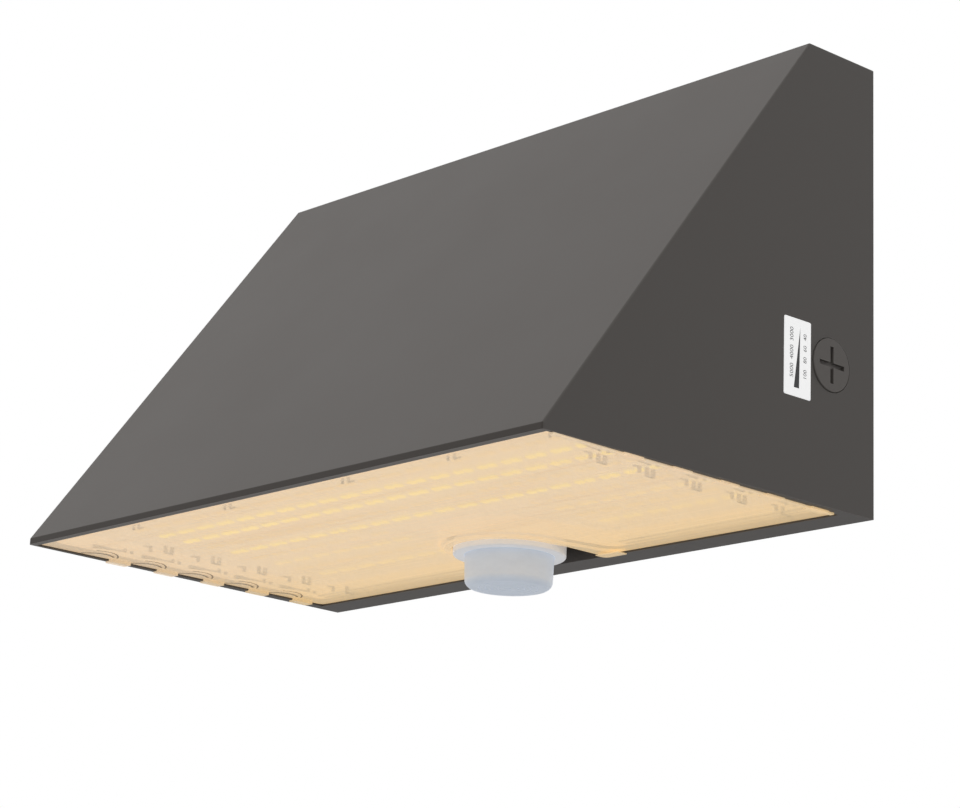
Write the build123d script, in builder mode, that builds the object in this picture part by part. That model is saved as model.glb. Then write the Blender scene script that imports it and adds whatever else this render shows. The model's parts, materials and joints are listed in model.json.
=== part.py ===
"""Wedge-shaped outdoor wall pack light with a hook-on housing and a twist-in light sensor.

Millimetres. X runs to the right, Y towards the wall, Z up. The origin is the centre of the
junction box screw pattern, on the wall.
"""
from build123d import *
import math
import os

os.makedirs("parts", exist_ok=True)

# ---------------------------------------------------------------- driving dimensions
# Housing casting, seen from the side: a top shelf, a long sloped front and a low front lip.
housing_height = 213.0
housing_depth = 202.0
top_depth = 44.0
lip_height = 3.0
rear_width = 360.0
front_width = 350.0
cast_wall = 2.8
outer_edge_radius = 1.0
box_centre_height = 110.0      # junction box centre above the bottom rim

# Wall plate and foam gasket.
gasket_thickness = 2.0
plate_thickness = 1.5
plate_side_gap = 8.0            # plate edge in from the housing's rear edge, each side
gasket_margin = 4.0
flange_height = 9.0            # underside of the plate's bottom flange above the rim
flange_depth = 11.9
box_screw_spacing = 88.9
box_screw_hole_radius = 2.5
lag_spacing_x = 280.0
lag_spacing_z = 140.0
lag_hole_radius = 3.5
wire_hole_radius = 11.0
wire_hole_drop = 28.0          # wire hole below the junction box centre
grommet_bore_radius = 8.0
grommet_flange_radius = 14.0
grommet_lip = 1.5
grommet_fit = 0.1

# Rolled bead on the plate, and the hooks cast under the housing's top that hang on it.
bead_radius = 1.6
bead_offset = 6.5              # bead centre in front of the wall
bead_drop = 4.8                # bead centre below the housing's top
bead_end_gap = 22.0            # bead end in from the plate's edge
shelf_drop = 2.2               # step shelf under the bead, which stops the swing
hook_clearance = 0.1
hook_width = 50.0
hook_end_gap = 15.0            # hook in from the bead's end
hook_depth = 9.0
hook_root = 1.0                # hook's run into the casting's top

# Rear sill of the housing and the screw that locks it to the plate.
sill_depth = 16.4
sill_thickness = 3.0
well_wall = 3.0
lock_x = -42.0                 # lock screw, left of the sensor
lock_boss_width = 16.0
lock_boss_height = 8.0
lock_screw_radius = 2.5
lock_screw_length = 11.5
lock_head_radius = 4.5
lock_head_height = 3.2
lock_head_recess = 4.5
lock_hole_clearance = 0.3
lock_slot_clearance = 0.6
lock_nut_width = 8.0
lock_nut_height = 4.0
lock_nut_gap = 0.3

# Lens well, lens and its gasket.
front_rim = 3.6
side_rim = 1.4                 # rim beside the lens, at the housing's front
lens_fit = 0.4
lens_recess = 0.8
lens_thickness = 2.0
lens_corner_radius = 3.0
skirt_height = 7.2
skirt_thickness = 1.5
skirt_inset = 1.4
skirt_front_inset = 8.0
tab_count = 5
tab_pitch = 29.6
tab_width = 11.5
tab_rear_offset = 31.5         # rearmost tab in front of the housing's rear edge
tab_thickness = 0.8
tab_reach = 2.6
tab_gap = 0.05
lens_gasket_thickness = 3.0
lens_gasket_width = 3.0

# Sensor, on the middle plane, and the notch in the lens around it.
sensor_offset = 48.5           # sensor axis in front of the housing's rear edge
sensor_flange_radius = 27.0
sensor_flange_drop = 1.8       # flange face below the rim
sensor_flange_height = 7.3
sensor_flange_round = 0.8
sensor_floor = 2.0
sensor_body_radius = 21.5
sensor_body_height = 15.3      # below the flange face
sensor_body_round = 3.0
sensor_wall = 1.6
sensor_fit = 0.3
sensor_neck_radius = 18.0
sensor_neck_height = 10.0
sensor_neck_clearance = 0.4
ear_reach = 2.0
ear_height = 2.4
ear_angle = 24.0
ear_clearance = 0.3
unlock_angle = 25.0
sensor_board_radius = 18.5
sensor_board_thickness = 1.2
sensor_board_drop = 2.3        # board top below the flange's inner face
sensor_post_radius = 1.6
sensor_post_spacing = 26.0
photocell_radius = 2.6
photocell_height = 2.0
contact_radius = 1.0
contact_clearance = 0.4
contact_circle = 9.0
contact_count = 3
contact_stand_out = 6.0
neck_roof = 1.5
neck_wall = 7.0
notch_radius = 31.5
notch_mouth = 76.0
notch_mouth_radius = 9.0
socket_clearance = 1.0
socket_neck_radius = 24.0
socket_neck_height = 12.0
socket_ring_thickness = 5.0
socket_ring_width = 5.0
sensor_gasket_thickness = 1.3
sensor_gasket_width = 3.4
sensor_gasket_gap = 0.2

# Tray that carries the light boards and the driver.
tray_thickness = 2.0
tray_fit = 0.8
tray_front_gap = 1.0
tray_rear_gap = 0.5
ledge_width = 17.6
ledge_height = 8.0
tray_screw_side_gap = 12.6     # screw centre in from the well's side
tray_screw_end_gap = 18.8
tray_screw_radius = 2.0
tray_head_radius = 3.4
tray_head_height = 2.0
screw_hole_clearance = 0.3

# Light boards and light-emitting chips.
board_thickness = 1.6
board_side_gap = 19.6          # board edge in from the well's side
board_split_gap = 0.5
board_front_gap = 4.5
board_rear_gap = 10.7
board_inner_edge = 46.0
row_count_rear = 4             # rows beside the sensor
row_pitch = 15.15
row_edge = 4.0
rear_row_edge = 3.0            # last row's half pitch to the board's rear edge
pair_pitch = 15.0
pair_edge = 8.0
pair_spread = 6.0              # warm chip to cool chip in a pair
chip_length = 3.5
chip_width = 2.8
chip_height = 0.7
board_connector_x = 60.0
board_connector_width = 6.0
board_connector_length = 9.0
board_connector_height = 2.2
board_screw_radius = 1.5
board_head_radius = 2.6
board_head_height = 1.4

# Driver on its bracket, behind the side plug.
driver_depth = 38.0
driver_height = 32.0
slider_plug_gap = 3.1           # slider tip to the plug's inner end
driver_wall = 1.2
driver_cover_height = 8.0
bracket_thickness = 1.5
bracket_inset = 10.0           # left leg in from the driver's end
bracket_ring_gap = 1.0
bracket_ledge_gap = 6.0
bracket_leg_depth = 24.0
bracket_foot = 12.0
driver_board_height = 5.0
driver_board_thickness = 1.6
driver_board_gap = 0.4
standoff_radius = 2.5
winding_size = 20.0
winding_height = 16.0
winding_fit = 0.2
core_leg = 7.0
core_wall = 1.8
transformer_offset = 24.0      # right of the driver's middle
capacitor_radius = 5.0
capacitor_height = 16.0
capacitor_pitch = 14.0
capacitor_round = 0.8
capacitor_offset = 43.0        # left of the driver's middle
switch_width = 7.0
switch_depth = 6.0
switch_height = 18.0
switch_spacing = 9.0
switch_wall_gap = 0.2
switch_channel_depth = 2.8
slider_width = 2.4
slider_height = 2.6
slider_foot_width = 3.6
slider_foot_height = 4.0
slider_foot_depth = 2.4
slider_reach = 3.0
slider_clearance = 0.2
slider_round = 0.4
cct_travel = 5.0
power_travel = 7.5

# Side plug that covers the selector switches.
plug_offset = 29.0             # plug axis in front of the housing's rear edge
plug_height = 64.6             # plug axis above the rim
plug_head_radius = 12.2
plug_head_thickness = 2.4
plug_stand_out = 0.5
plug_thread_radius = 10.0
plug_thread_length = 11.3
plug_clearance = 0.2
plug_head_clearance = 0.3
plug_boss_radius = 16.0
plug_boss_length = 8.2
plug_round = 0.4
plug_lead_in = 0.6
plug_slot_length = 17.0
plug_slot_width = 2.3
plug_slot_depth = 1.7
seal_thickness = 1.0
seal_gap = 0.05

# Selector label beside the plug.
label_width = 17.4
label_height = 35.4
label_corner_radius = 0.8
label_thickness = 0.2
label_offset = 51.5
label_centre_height = 63.0

# Supply terminals and earth screw on the wall plate.
terminal_count = 3
terminal_pitch = 10.0
terminal_depth = 14.0
terminal_height = 16.0
terminal_chamfer = 2.0
terminal_x = -80.0
terminal_z = -20.0
terminal_screw_radius = 2.2
terminal_screw_depth = 1.0
wire_socket_radius = 2.0
wire_socket_depth = 6.0
earth_x = -55.0
earth_z = -45.0
earth_head_radius = 4.0
earth_head_height = 2.5
earth_screw_radius = 2.0
earth_screw_length = 2.8

# Inner leads.
lead_radius = 1.0
lead_spacing = 6.0
lead_bend_share = 0.45
lead_hole_radius = 1.4
led_lead_x = 60.0
led_lead_out = 14.0            # from the driver's front face to where the leads drop
led_lead_height = 60.0
sensor_lead_y = 44.0           # in front of the wall
sensor_lead_height = 70.0

# ---------------------------------------------------------------- levels and places worked out
rim_z = -box_centre_height
top_z = rim_z + housing_height
rear_y = -gasket_thickness
front_y = rear_y - housing_depth
ridge_y = rear_y - top_depth
plate_front_y = -gasket_thickness - plate_thickness
bead_y = -bead_offset
bead_z = top_z - bead_drop
side_taper = (rear_width - front_width) / 2 / housing_depth
plate_width = rear_width - 2 * plate_side_gap
bead_length = plate_width - 2 * bead_end_gap
hook_spacing = bead_length - 2 * hook_end_gap - hook_width
well_width = front_width - 2 * side_rim
ledge_inner_width = well_width - 2 * ledge_width
board_width = well_width - 2 * board_side_gap

slope_rise = housing_height - lip_height
slope_run = housing_depth - top_depth
wall_run = cast_wall * math.hypot(slope_rise, slope_run) / slope_rise


def slope_inner_y(z):
    """Y of the sloped wall's inner face at height z."""
    return front_y + (z - rim_z - lip_height) * slope_run / slope_rise + wall_run


def side_x(y):
    """Half width of the housing's outside at y."""
    return rear_width / 2 + side_taper * (y - rear_y)


lens_bottom_z = rim_z + lens_recess
lens_top_z = lens_bottom_z + lens_thickness
skirt_top_z = lens_top_z + skirt_height
tray_bottom_z = skirt_top_z + lens_gasket_thickness
tray_top_z = tray_bottom_z + tray_thickness
ledge_top_z = tray_top_z + ledge_height
well_front_y = front_y + front_rim
well_rear_y = rear_y - sill_depth
well_knee_z = rim_z + lip_height + (well_front_y - front_y - wall_run) * slope_rise / slope_run
sensor_y = rear_y - sensor_offset
flange_face_z = rim_z - sensor_flange_drop
flange_top_z = flange_face_z + sensor_flange_height
sensor_inner_z = flange_top_z - sensor_floor
socket_face_z = flange_top_z + sensor_gasket_gap + sensor_gasket_thickness
plug_y = rear_y - plug_offset
plug_z = rim_z + plug_height
plug_face_x = side_x(plug_y) + plug_stand_out
plug_underside_x = plug_face_x - plug_head_thickness
plug_seat_x = plug_underside_x - seal_thickness - 2 * seal_gap
driver_right_end = plug_underside_x - plug_thread_length - slider_plug_gap - slider_reach
lock_y = rear_y - (sill_depth - well_wall) / 2
board_top_z = tray_bottom_z
board_bottom_z = board_top_z - board_thickness
tray_front_y = slope_inner_y(tray_top_z) + tray_front_gap
tray_rear_y = well_rear_y - tray_rear_gap


# ---------------------------------------------------------------- shared shapes
def side_block(profile, plan):
    """Solid with the side view profile (y, z) and the top view plan (x, y)."""
    with BuildPart() as block:
        with BuildSketch(Plane.YZ.offset(-rear_width / 2)):
            with BuildLine():
                Polyline(*profile, close=True)
            make_face()
        extrude(amount=rear_width)
        with BuildSketch(Plane.XY.offset(rim_z - housing_height)):
            with BuildLine():
                Polyline(*plan, close=True)
            make_face()
        extrude(amount=3 * housing_height, mode=Mode.INTERSECT)
    return block.part


def tapered_plan(inset, y_front, y_rear):
    """Top view that follows the tapered sides at an inset."""
    front_x = side_x(y_front) - inset
    rear_x = side_x(y_rear) - inset
    return [(-front_x, y_front), (front_x, y_front), (rear_x, y_rear), (-rear_x, y_rear)]


def straight_plan(width, y_front, y_rear):
    """Rectangular top view centred on the middle plane."""
    return [(-width / 2, y_front), (width / 2, y_front), (width / 2, y_rear), (-width / 2, y_rear)]


def notch_sketch(growth, y_rear):
    """Notch round the sensor, grown by growth and ending at y_rear."""
    mouth_x = notch_mouth / 2 + growth
    with BuildSketch() as notch:
        with Locations((0, sensor_y)):
            Circle(notch_radius + growth)
        with BuildLine():
            Polyline(
                (-notch_radius - growth, sensor_y),
                (notch_radius + growth, sensor_y),
                (mouth_x, y_rear),
                (-mouth_x, y_rear),
                close=True,
            )
        make_face()
        with Locations((0, y_rear - notch_mouth)):
            Rectangle(2 * notch_mouth, 2 * notch_mouth, mode=Mode.INTERSECT)
    return notch.sketch


def lens_sketch(width, y_front, y_rear, growth):
    """Outline of the lens: a rectangle with the sensor notch cut from its rear edge."""
    with BuildSketch() as outline:
        with BuildLine():
            Polyline(*straight_plan(width, y_front, y_rear), close=True)
        make_face()
        add(notch_sketch(growth, y_rear), mode=Mode.SUBTRACT)
        corners = outline.vertices().filter_by(lambda v: abs(abs(v.X) - width / 2) < 0.01)
        fillet(corners, lens_corner_radius)
        mouth = outline.vertices().filter_by(
            lambda v: abs(v.Y - y_rear) < 0.01 and abs(v.X) < notch_mouth
        )
        fillet(mouth, notch_mouth_radius - growth)
    return outline.sketch


def centred(count, pitch):
    """Evenly spaced places about zero."""
    return [(i - (count - 1) / 2) * pitch for i in range(count)]


def screw_on(seat, shank_radius, shank_length, head_radius, head_height):
    """Screw whose head stands on the seat plane and whose shank goes into it."""
    slot_width = head_radius / 4
    with BuildPart() as screw:
        with BuildSketch(seat):
            Circle(head_radius)
        extrude(amount=head_height)
        with BuildSketch(seat.offset(head_height)):
            Rectangle(1.3 * head_radius, slot_width)
            Rectangle(slot_width, 1.3 * head_radius)
        extrude(amount=-head_height / 2, mode=Mode.SUBTRACT)
        with BuildSketch(seat):
            Circle(shank_radius)
        extrude(amount=-shank_length)
    return screw.part


def lead(*points):
    """Insulated wire along straight runs joined by tangent arcs."""
    runs = [(b - a).length for a, b in zip(points, points[1:])]
    bend = lead_bend_share * min(runs)
    print("lead bend radius", round(bend, 2))
    with BuildPart() as wire:
        with BuildLine() as route:
            FilletPolyline(*points, radius=bend)
        with BuildSketch(Plane(origin=route.line @ 0, z_dir=route.line % 0)):
            Circle(lead_radius)
        sweep(path=route.line)
    return wire.part


# ---------------------------------------------------------------- wall plate, gasket, grommet
bead_shelf_z = bead_z - shelf_drop
flange_z = rim_z + flange_height
plate_middle_z = (flange_z + bead_shelf_z) / 2
plate_height = bead_shelf_z - flange_z
web_front_y = bead_y - plate_thickness / 2
flange_front_y = rear_y - flange_depth
wall_plane = Plane(origin=(0, 0, 0), x_dir=(1, 0, 0), z_dir=(0, -1, 0))
plate_rear_plane = wall_plane.offset(gasket_thickness)
plate_front_plane = plate_rear_plane.offset(plate_thickness)
box_screw_spots = [(-box_screw_spacing / 2, 0), (box_screw_spacing / 2, 0)]
lag_spots = [(x * lag_spacing_x / 2, z * lag_spacing_z / 2) for x in (-1, 1) for z in (-1, 1)]

with BuildPart() as wall_plate:
    with BuildSketch(plate_rear_plane):
        with Locations((0, plate_middle_z)):
            Rectangle(plate_width, plate_height)
        with Locations(*box_screw_spots):
            Circle(box_screw_hole_radius, mode=Mode.SUBTRACT)
        with Locations(*lag_spots):
            Circle(lag_hole_radius, mode=Mode.SUBTRACT)
        with Locations((0, -wire_hole_drop)):
            Circle(wire_hole_radius, mode=Mode.SUBTRACT)
        with Locations((earth_x, earth_z)):
            Circle(earth_screw_radius + hook_clearance / 2, mode=Mode.SUBTRACT)
    extrude(amount=plate_thickness)
    with BuildSketch(Plane.XY.offset(flange_z)):
        with Locations((0, (rear_y + flange_front_y) / 2)):
            Rectangle(plate_width, flange_depth)
        with Locations((lock_x, lock_y)):
            Circle(lock_screw_radius + lock_slot_clearance, mode=Mode.SUBTRACT)
        with Locations((lock_x, (lock_y + flange_front_y) / 2)):
            Rectangle(
                2 * (lock_screw_radius + lock_slot_clearance),
                lock_y - flange_front_y,
                mode=Mode.SUBTRACT,
            )
    extrude(amount=plate_thickness)
    with BuildSketch(Plane.YZ.offset(-bead_length / 2)):
        with BuildLine():
            Polyline(
                (rear_y, bead_shelf_z - plate_thickness),
                (web_front_y, bead_shelf_z - plate_thickness),
                (web_front_y, bead_z),
                (web_front_y + plate_thickness, bead_z),
                (web_front_y + plate_thickness, bead_shelf_z),
                (rear_y, bead_shelf_z),
                close=True,
            )
        make_face()
        with Locations((bead_y, bead_z)):
            Circle(bead_radius)
    extrude(amount=bead_length)
wall_plate.part.label = "wall_plate"
export_step(wall_plate.part, "parts/wall_plate.step")

with BuildPart() as wall_gasket:
    with BuildSketch(wall_plane):
        with Locations((0, plate_middle_z)):
            Rectangle(plate_width - 2 * gasket_margin, plate_height - 2 * gasket_margin)
        with Locations(*box_screw_spots):
            Circle(box_screw_hole_radius, mode=Mode.SUBTRACT)
        with Locations(*lag_spots):
            Circle(lag_hole_radius, mode=Mode.SUBTRACT)
        with Locations((0, -wire_hole_drop)):
            Circle(grommet_flange_radius + grommet_fit, mode=Mode.SUBTRACT)
        with Locations((earth_x, earth_z)):
            Circle(earth_screw_radius + lock_slot_clearance, mode=Mode.SUBTRACT)
    extrude(amount=gasket_thickness)
wall_gasket.part.label = "wall_gasket"
export_step(wall_gasket.part, "parts/wall_gasket.step")

grommet_plane = Plane(origin=(0, 0, -wire_hole_drop), x_dir=(1, 0, 0), z_dir=(0, -1, 0))
with BuildPart() as wire_grommet:
    with BuildSketch(grommet_plane.offset(gasket_thickness - grommet_lip)):
        Circle(grommet_flange_radius)
    extrude(amount=grommet_lip)
    with BuildSketch(grommet_plane.offset(gasket_thickness)):
        Circle(wire_hole_radius - grommet_fit)
    extrude(amount=plate_thickness)
    with BuildSketch(grommet_plane.offset(gasket_thickness + plate_thickness)):
        Circle(grommet_flange_radius)
    extrude(amount=grommet_lip)
    fillet(wire_grommet.faces().sort_by(Axis.Y)[0].edges(), grommet_lip / 2)
    with BuildSketch(grommet_plane):
        Circle(grommet_bore_radius)
    extrude(amount=gasket_thickness + plate_thickness + grommet_lip, mode=Mode.SUBTRACT)
wire_grommet.part.label = "wire_grommet"
export_step(wire_grommet.part, "parts/wire_grommet.step")

earth_seat = Plane(
    origin=(earth_x, plate_front_y, earth_z), x_dir=(1, 0, 0), z_dir=(0, -1, 0)
)
with BuildPart() as earth_screw:
    add(
        screw_on(
            earth_seat, earth_screw_radius, earth_screw_length, earth_head_radius, earth_head_height
        )
    )
earth_screw.part.label = "earth_screw"
export_step(earth_screw.part, "parts/earth_screw.step")

terminal_width = terminal_count * terminal_pitch
terminal_xs = [terminal_x + x for x in centred(terminal_count, terminal_pitch)]
terminal_front_plane = plate_front_plane.offset(terminal_depth)
with BuildPart() as terminal_block:
    with BuildSketch(plate_front_plane):
        with Locations((terminal_x, terminal_z)):
            Rectangle(terminal_width, terminal_height)
    extrude(amount=terminal_depth)
    chamfer(terminal_block.faces().sort_by(Axis.Y)[0].edges().filter_by(Axis.X), terminal_chamfer)
    with BuildSketch(terminal_front_plane):
        with Locations(*[(x, terminal_z) for x in terminal_xs]):
            Circle(terminal_screw_radius + hook_clearance)
    extrude(amount=-2 * terminal_screw_depth, mode=Mode.SUBTRACT)
    with BuildSketch(Plane.XY.offset(terminal_z - terminal_height / 2)):
        with Locations(*[(x, plate_front_y - terminal_depth / 2) for x in terminal_xs]):
            Circle(wire_socket_radius)
    extrude(amount=wire_socket_depth, mode=Mode.SUBTRACT)
terminal_block.part.label = "terminal_block"
export_step(terminal_block.part, "parts/terminal_block.step")

with BuildPart() as terminal_screws:
    with BuildSketch(terminal_front_plane.offset(-2 * terminal_screw_depth)):
        with Locations(*[(x, terminal_z) for x in terminal_xs]):
            Circle(terminal_screw_radius)
    extrude(amount=terminal_screw_depth)
    with BuildSketch(terminal_front_plane.offset(-terminal_screw_depth)):
        with Locations(*[(x, terminal_z) for x in terminal_xs]):
            Rectangle(2 * terminal_screw_radius, terminal_screw_radius / 3)
    extrude(amount=-terminal_screw_depth / 2, mode=Mode.SUBTRACT)
terminal_screws.part.label = "terminal_screws"
export_step(terminal_screws.part, "parts/terminal_screws.step")

# ---------------------------------------------------------------- housing
outer_profile = [
    (rear_y, rim_z),
    (rear_y, top_z),
    (ridge_y, top_z),
    (front_y, rim_z + lip_height),
    (front_y, rim_z),
]
inner_top_z = top_z - cast_wall
upper_hollow = side_block(
    [
        (rear_y + cast_wall, rim_z + sill_thickness),
        (rear_y + cast_wall, inner_top_z),
        (slope_inner_y(inner_top_z), inner_top_z),
        (slope_inner_y(ledge_top_z), ledge_top_z),
        (well_rear_y + well_wall, ledge_top_z),
        (well_rear_y + well_wall, rim_z + sill_thickness),
    ],
    tapered_plan(cast_wall, front_y, rear_y + cast_wall),
)
ledge_hollow = side_block(
    [
        (well_rear_y + 2 * well_wall, tray_top_z),
        (well_rear_y + 2 * well_wall, ledge_top_z + cast_wall),
        (slope_inner_y(ledge_top_z + cast_wall), ledge_top_z + cast_wall),
        (slope_inner_y(tray_top_z), tray_top_z),
    ],
    straight_plan(ledge_inner_width, front_y, rear_y),
)
lens_well = side_block(
    [
        (well_rear_y, rim_z - cast_wall),
        (well_rear_y, tray_top_z),
        (slope_inner_y(tray_top_z), tray_top_z),
        (well_front_y, well_knee_z),
        (well_front_y, rim_z - cast_wall),
    ],
    straight_plan(well_width, front_y, rear_y),
)
plug_plane = Plane(origin=(0, plug_y, plug_z), x_dir=(0, 1, 0), z_dir=(1, 0, 0))
boss_end_x = side_x(plug_y - plug_boss_radius) - cast_wall / 2
tray_screw_x = well_width / 2 - tray_screw_side_gap
tray_screw_run = (tray_rear_y - tray_front_y) / 2 - tray_screw_end_gap
tray_screw_rows = [(tray_front_y + tray_rear_y) / 2 + i * tray_screw_run for i in (-1, 0, 1)]
tray_screw_spots = [(i * tray_screw_x, y) for i in (-1, 1) for y in tray_screw_rows]
tab_ys = [rear_y - tab_rear_offset - i * tab_pitch for i in range(tab_count)]

with BuildPart() as housing:
    add(side_block(outer_profile, tapered_plan(0, front_y, rear_y)))
    shown_edges = housing.edges().filter_by(
        lambda e: e.center().Y < rear_y - 0.01 and e.center().Z > rim_z + 0.01
    )
    fillet(shown_edges, outer_edge_radius)
    add(upper_hollow, mode=Mode.SUBTRACT)
    add(ledge_hollow, mode=Mode.SUBTRACT)
    add(lens_well, mode=Mode.SUBTRACT)
    with BuildSketch(Plane.XY.offset(rim_z)):
        with Locations((lock_x, (rear_y + well_rear_y + well_wall) / 2)):
            Rectangle(lock_boss_width, sill_depth - well_wall)
    extrude(amount=lock_boss_height)
    with BuildSketch(Plane.XY.offset(rim_z)):
        with Locations((lock_x, lock_y)):
            Circle(lock_head_radius + lock_hole_clearance)
    extrude(amount=lock_head_recess, mode=Mode.SUBTRACT)
    with BuildSketch(Plane.XY.offset(rim_z)):
        with Locations((lock_x, lock_y)):
            Circle(lock_screw_radius + lock_hole_clearance)
    extrude(amount=lock_boss_height, mode=Mode.SUBTRACT)
    for side in (-1, 1):
        with BuildSketch(Plane.YZ.offset(side * hook_spacing / 2 - hook_width / 2)):
            with Locations((rear_y - hook_depth / 2, (bead_z + inner_top_z + hook_root) / 2)):
                Rectangle(hook_depth, inner_top_z + hook_root - bead_z)
            with Locations((bead_y, bead_z)):
                Circle(bead_radius + hook_clearance, mode=Mode.SUBTRACT)
        extrude(amount=hook_width)
    with BuildSketch(plug_plane.offset(plug_seat_x - plug_boss_length)):
        Circle(plug_boss_radius)
    extrude(amount=boss_end_x - plug_seat_x + plug_boss_length)
    with BuildSketch(plug_plane.offset(plug_seat_x)):
        Circle(plug_head_radius + plug_head_clearance)
    extrude(amount=plug_head_thickness + plug_stand_out + cast_wall, mode=Mode.SUBTRACT)
    with BuildSketch(plug_plane.offset(plug_seat_x - plug_boss_length)):
        Circle(plug_thread_radius + plug_clearance)
    extrude(amount=plug_boss_length, mode=Mode.SUBTRACT)
    with BuildSketch(Plane.XY.offset(tray_top_z)):
        with Locations(*tray_screw_spots):
            Circle(tray_screw_radius + seal_gap)
    extrude(amount=ledge_height - 1, mode=Mode.SUBTRACT)
housing.part.label = "housing"
export_step(housing.part, "parts/housing.step")

lock_seat = Plane(
    origin=(lock_x, lock_y, rim_z + lock_head_recess), x_dir=(1, 0, 0), z_dir=(0, 0, -1)
)
with BuildPart() as lock_screw:
    add(
        screw_on(
            lock_seat, lock_screw_radius, lock_screw_length, lock_head_radius, lock_head_height
        )
    )
lock_screw.part.label = "lock_screw"
export_step(lock_screw.part, "parts/lock_screw.step")

with BuildPart() as lock_nut:
    with BuildSketch(Plane.XY.offset(flange_z + plate_thickness + lock_nut_gap)):
        with Locations((lock_x, lock_y)):
            Rectangle(lock_nut_width, lock_nut_width)
            Circle(lock_screw_radius + seal_gap, mode=Mode.SUBTRACT)
    extrude(amount=lock_nut_height)
lock_nut.part.label = "lock_nut"
export_step(lock_nut.part, "parts/lock_nut.step")

# ---------------------------------------------------------------- lens and its gasket
lens_width = well_width - 2 * lens_fit
lens_front_y = well_front_y + lens_fit
lens_rear_y = well_rear_y - lens_fit
skirt_width = lens_width - 2 * skirt_inset
skirt_front_y = lens_front_y + skirt_front_inset
skirt_rear_y = lens_rear_y - skirt_inset


def skirt_sketch(inset):
    """Outline of the lens skirt, brought in by inset."""
    return lens_sketch(
        skirt_width - 2 * inset, skirt_front_y + inset, skirt_rear_y - inset, skirt_inset + inset
    )


with BuildPart() as lens:
    with BuildSketch(Plane.XY.offset(lens_bottom_z)):
        add(lens_sketch(lens_width, lens_front_y, lens_rear_y, 0))
    extrude(amount=lens_thickness)
    with BuildSketch(Plane.XY.offset(lens_top_z)):
        add(skirt_sketch(0))
        add(skirt_sketch(skirt_thickness), mode=Mode.SUBTRACT)
    extrude(amount=skirt_height)
    for side in (-1, 1):
        for y in tab_ys:
            with BuildSketch(Plane.XY.offset(rim_z - tab_gap)):
                with Locations((side * (well_width / 2 - lens_fit), y)):
                    Rectangle(2 * tab_reach, tab_width)
            extrude(amount=-tab_thickness)
            with BuildSketch(Plane.XY.offset(lens_bottom_z)):
                with Locations((side * (well_width / 2 - lens_fit - tab_reach / 2), y)):
                    Rectangle(tab_reach, tab_width)
            extrude(amount=rim_z - tab_gap - tab_thickness - lens_bottom_z)
lens.part.label = "lens"
export_step(lens.part, "parts/lens.step")

with BuildPart() as lens_gasket:
    with BuildSketch(Plane.XY.offset(skirt_top_z)):
        add(skirt_sketch(0))
        add(skirt_sketch(lens_gasket_width), mode=Mode.SUBTRACT)
    extrude(amount=lens_gasket_thickness)
lens_gasket.part.label = "lens_gasket"
export_step(lens_gasket.part, "parts/lens_gasket.step")

# ---------------------------------------------------------------- light tray, boards and chips
board_front_y = tray_front_y + board_front_gap
board_rear_y = well_rear_y - board_rear_gap
board_split_y = board_rear_y - rear_row_edge - row_count_rear * row_pitch
row_count_front = int((board_split_y - board_front_y - row_edge) / row_pitch + 0.5)
board_outer_x = board_width / 2
front_screw_x = board_outer_x - 2 * pair_pitch
rear_board_middle_x = (board_inner_edge + board_outer_x) / 2
driver_front_y = plug_y - driver_depth / 2
driver_bottom_z = plug_z - driver_height / 2
leg_xs = [
    socket_neck_radius + socket_ring_width + bracket_ring_gap,
    ledge_inner_width / 2 - bracket_ledge_gap,
]
driver_left_x = leg_xs[0] - bracket_inset
driver_length = driver_right_end - driver_left_x
foot_middle_xs = [leg_xs[0] + bracket_foot / 2, leg_xs[1] - bracket_foot / 2]
foot_middle_y = driver_front_y + bracket_leg_depth / 2
foot_spots = [(x, foot_middle_y + i * bracket_leg_depth / 4) for x in foot_middle_xs for i in (-1, 1)]
led_lead_drop_y = driver_front_y - led_lead_out
led_lead_xs = [led_lead_x - lead_spacing / 2, led_lead_x + lead_spacing / 2]
front_board_screw_spots = [
    (i * front_screw_x, board_split_y - j * row_pitch)
    for i in (-1, 0, 1)
    for j in (1, row_count_front - 1)
]
rear_board_screw_spots = [
    (i * rear_board_middle_x, board_split_y + j * row_pitch)
    for i in (-1, 1)
    for j in (1, row_count_rear - 1)
]
board_screw_spots = front_board_screw_spots + rear_board_screw_spots

with BuildPart() as led_tray:
    with BuildSketch(Plane.XY.offset(tray_bottom_z)):
        with BuildLine():
            Polyline(*straight_plan(well_width - 2 * tray_fit, tray_front_y, tray_rear_y), close=True)
        make_face()
        with Locations((0, sensor_y)):
            Circle(socket_neck_radius + sensor_fit, mode=Mode.SUBTRACT)
        with Locations(*tray_screw_spots):
            Circle(tray_screw_radius + screw_hole_clearance, mode=Mode.SUBTRACT)
        with Locations(*board_screw_spots):
            Circle(board_screw_radius + seal_gap, mode=Mode.SUBTRACT)
        with Locations(*foot_spots):
            Circle(board_screw_radius + seal_gap, mode=Mode.SUBTRACT)
        with Locations(*[(x, led_lead_drop_y) for x in led_lead_xs]):
            Circle(lead_hole_radius, mode=Mode.SUBTRACT)
    extrude(amount=tray_thickness)
led_tray.part.label = "led_tray"
export_step(led_tray.part, "parts/led_tray.step")

tray_screw_seat = Plane(origin=(0, 0, tray_bottom_z), x_dir=(1, 0, 0), z_dir=(0, 0, -1))
with BuildPart() as tray_screws:
    with Locations(*[(x, y, 0) for x, y in tray_screw_spots]):
        add(
            screw_on(
                tray_screw_seat,
                tray_screw_radius,
                tray_thickness + ledge_height - 2,
                tray_head_radius,
                tray_head_height,
            )
        )
tray_screws.part.label = "tray_screws"
export_step(tray_screws.part, "parts/tray_screws.step")

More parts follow.
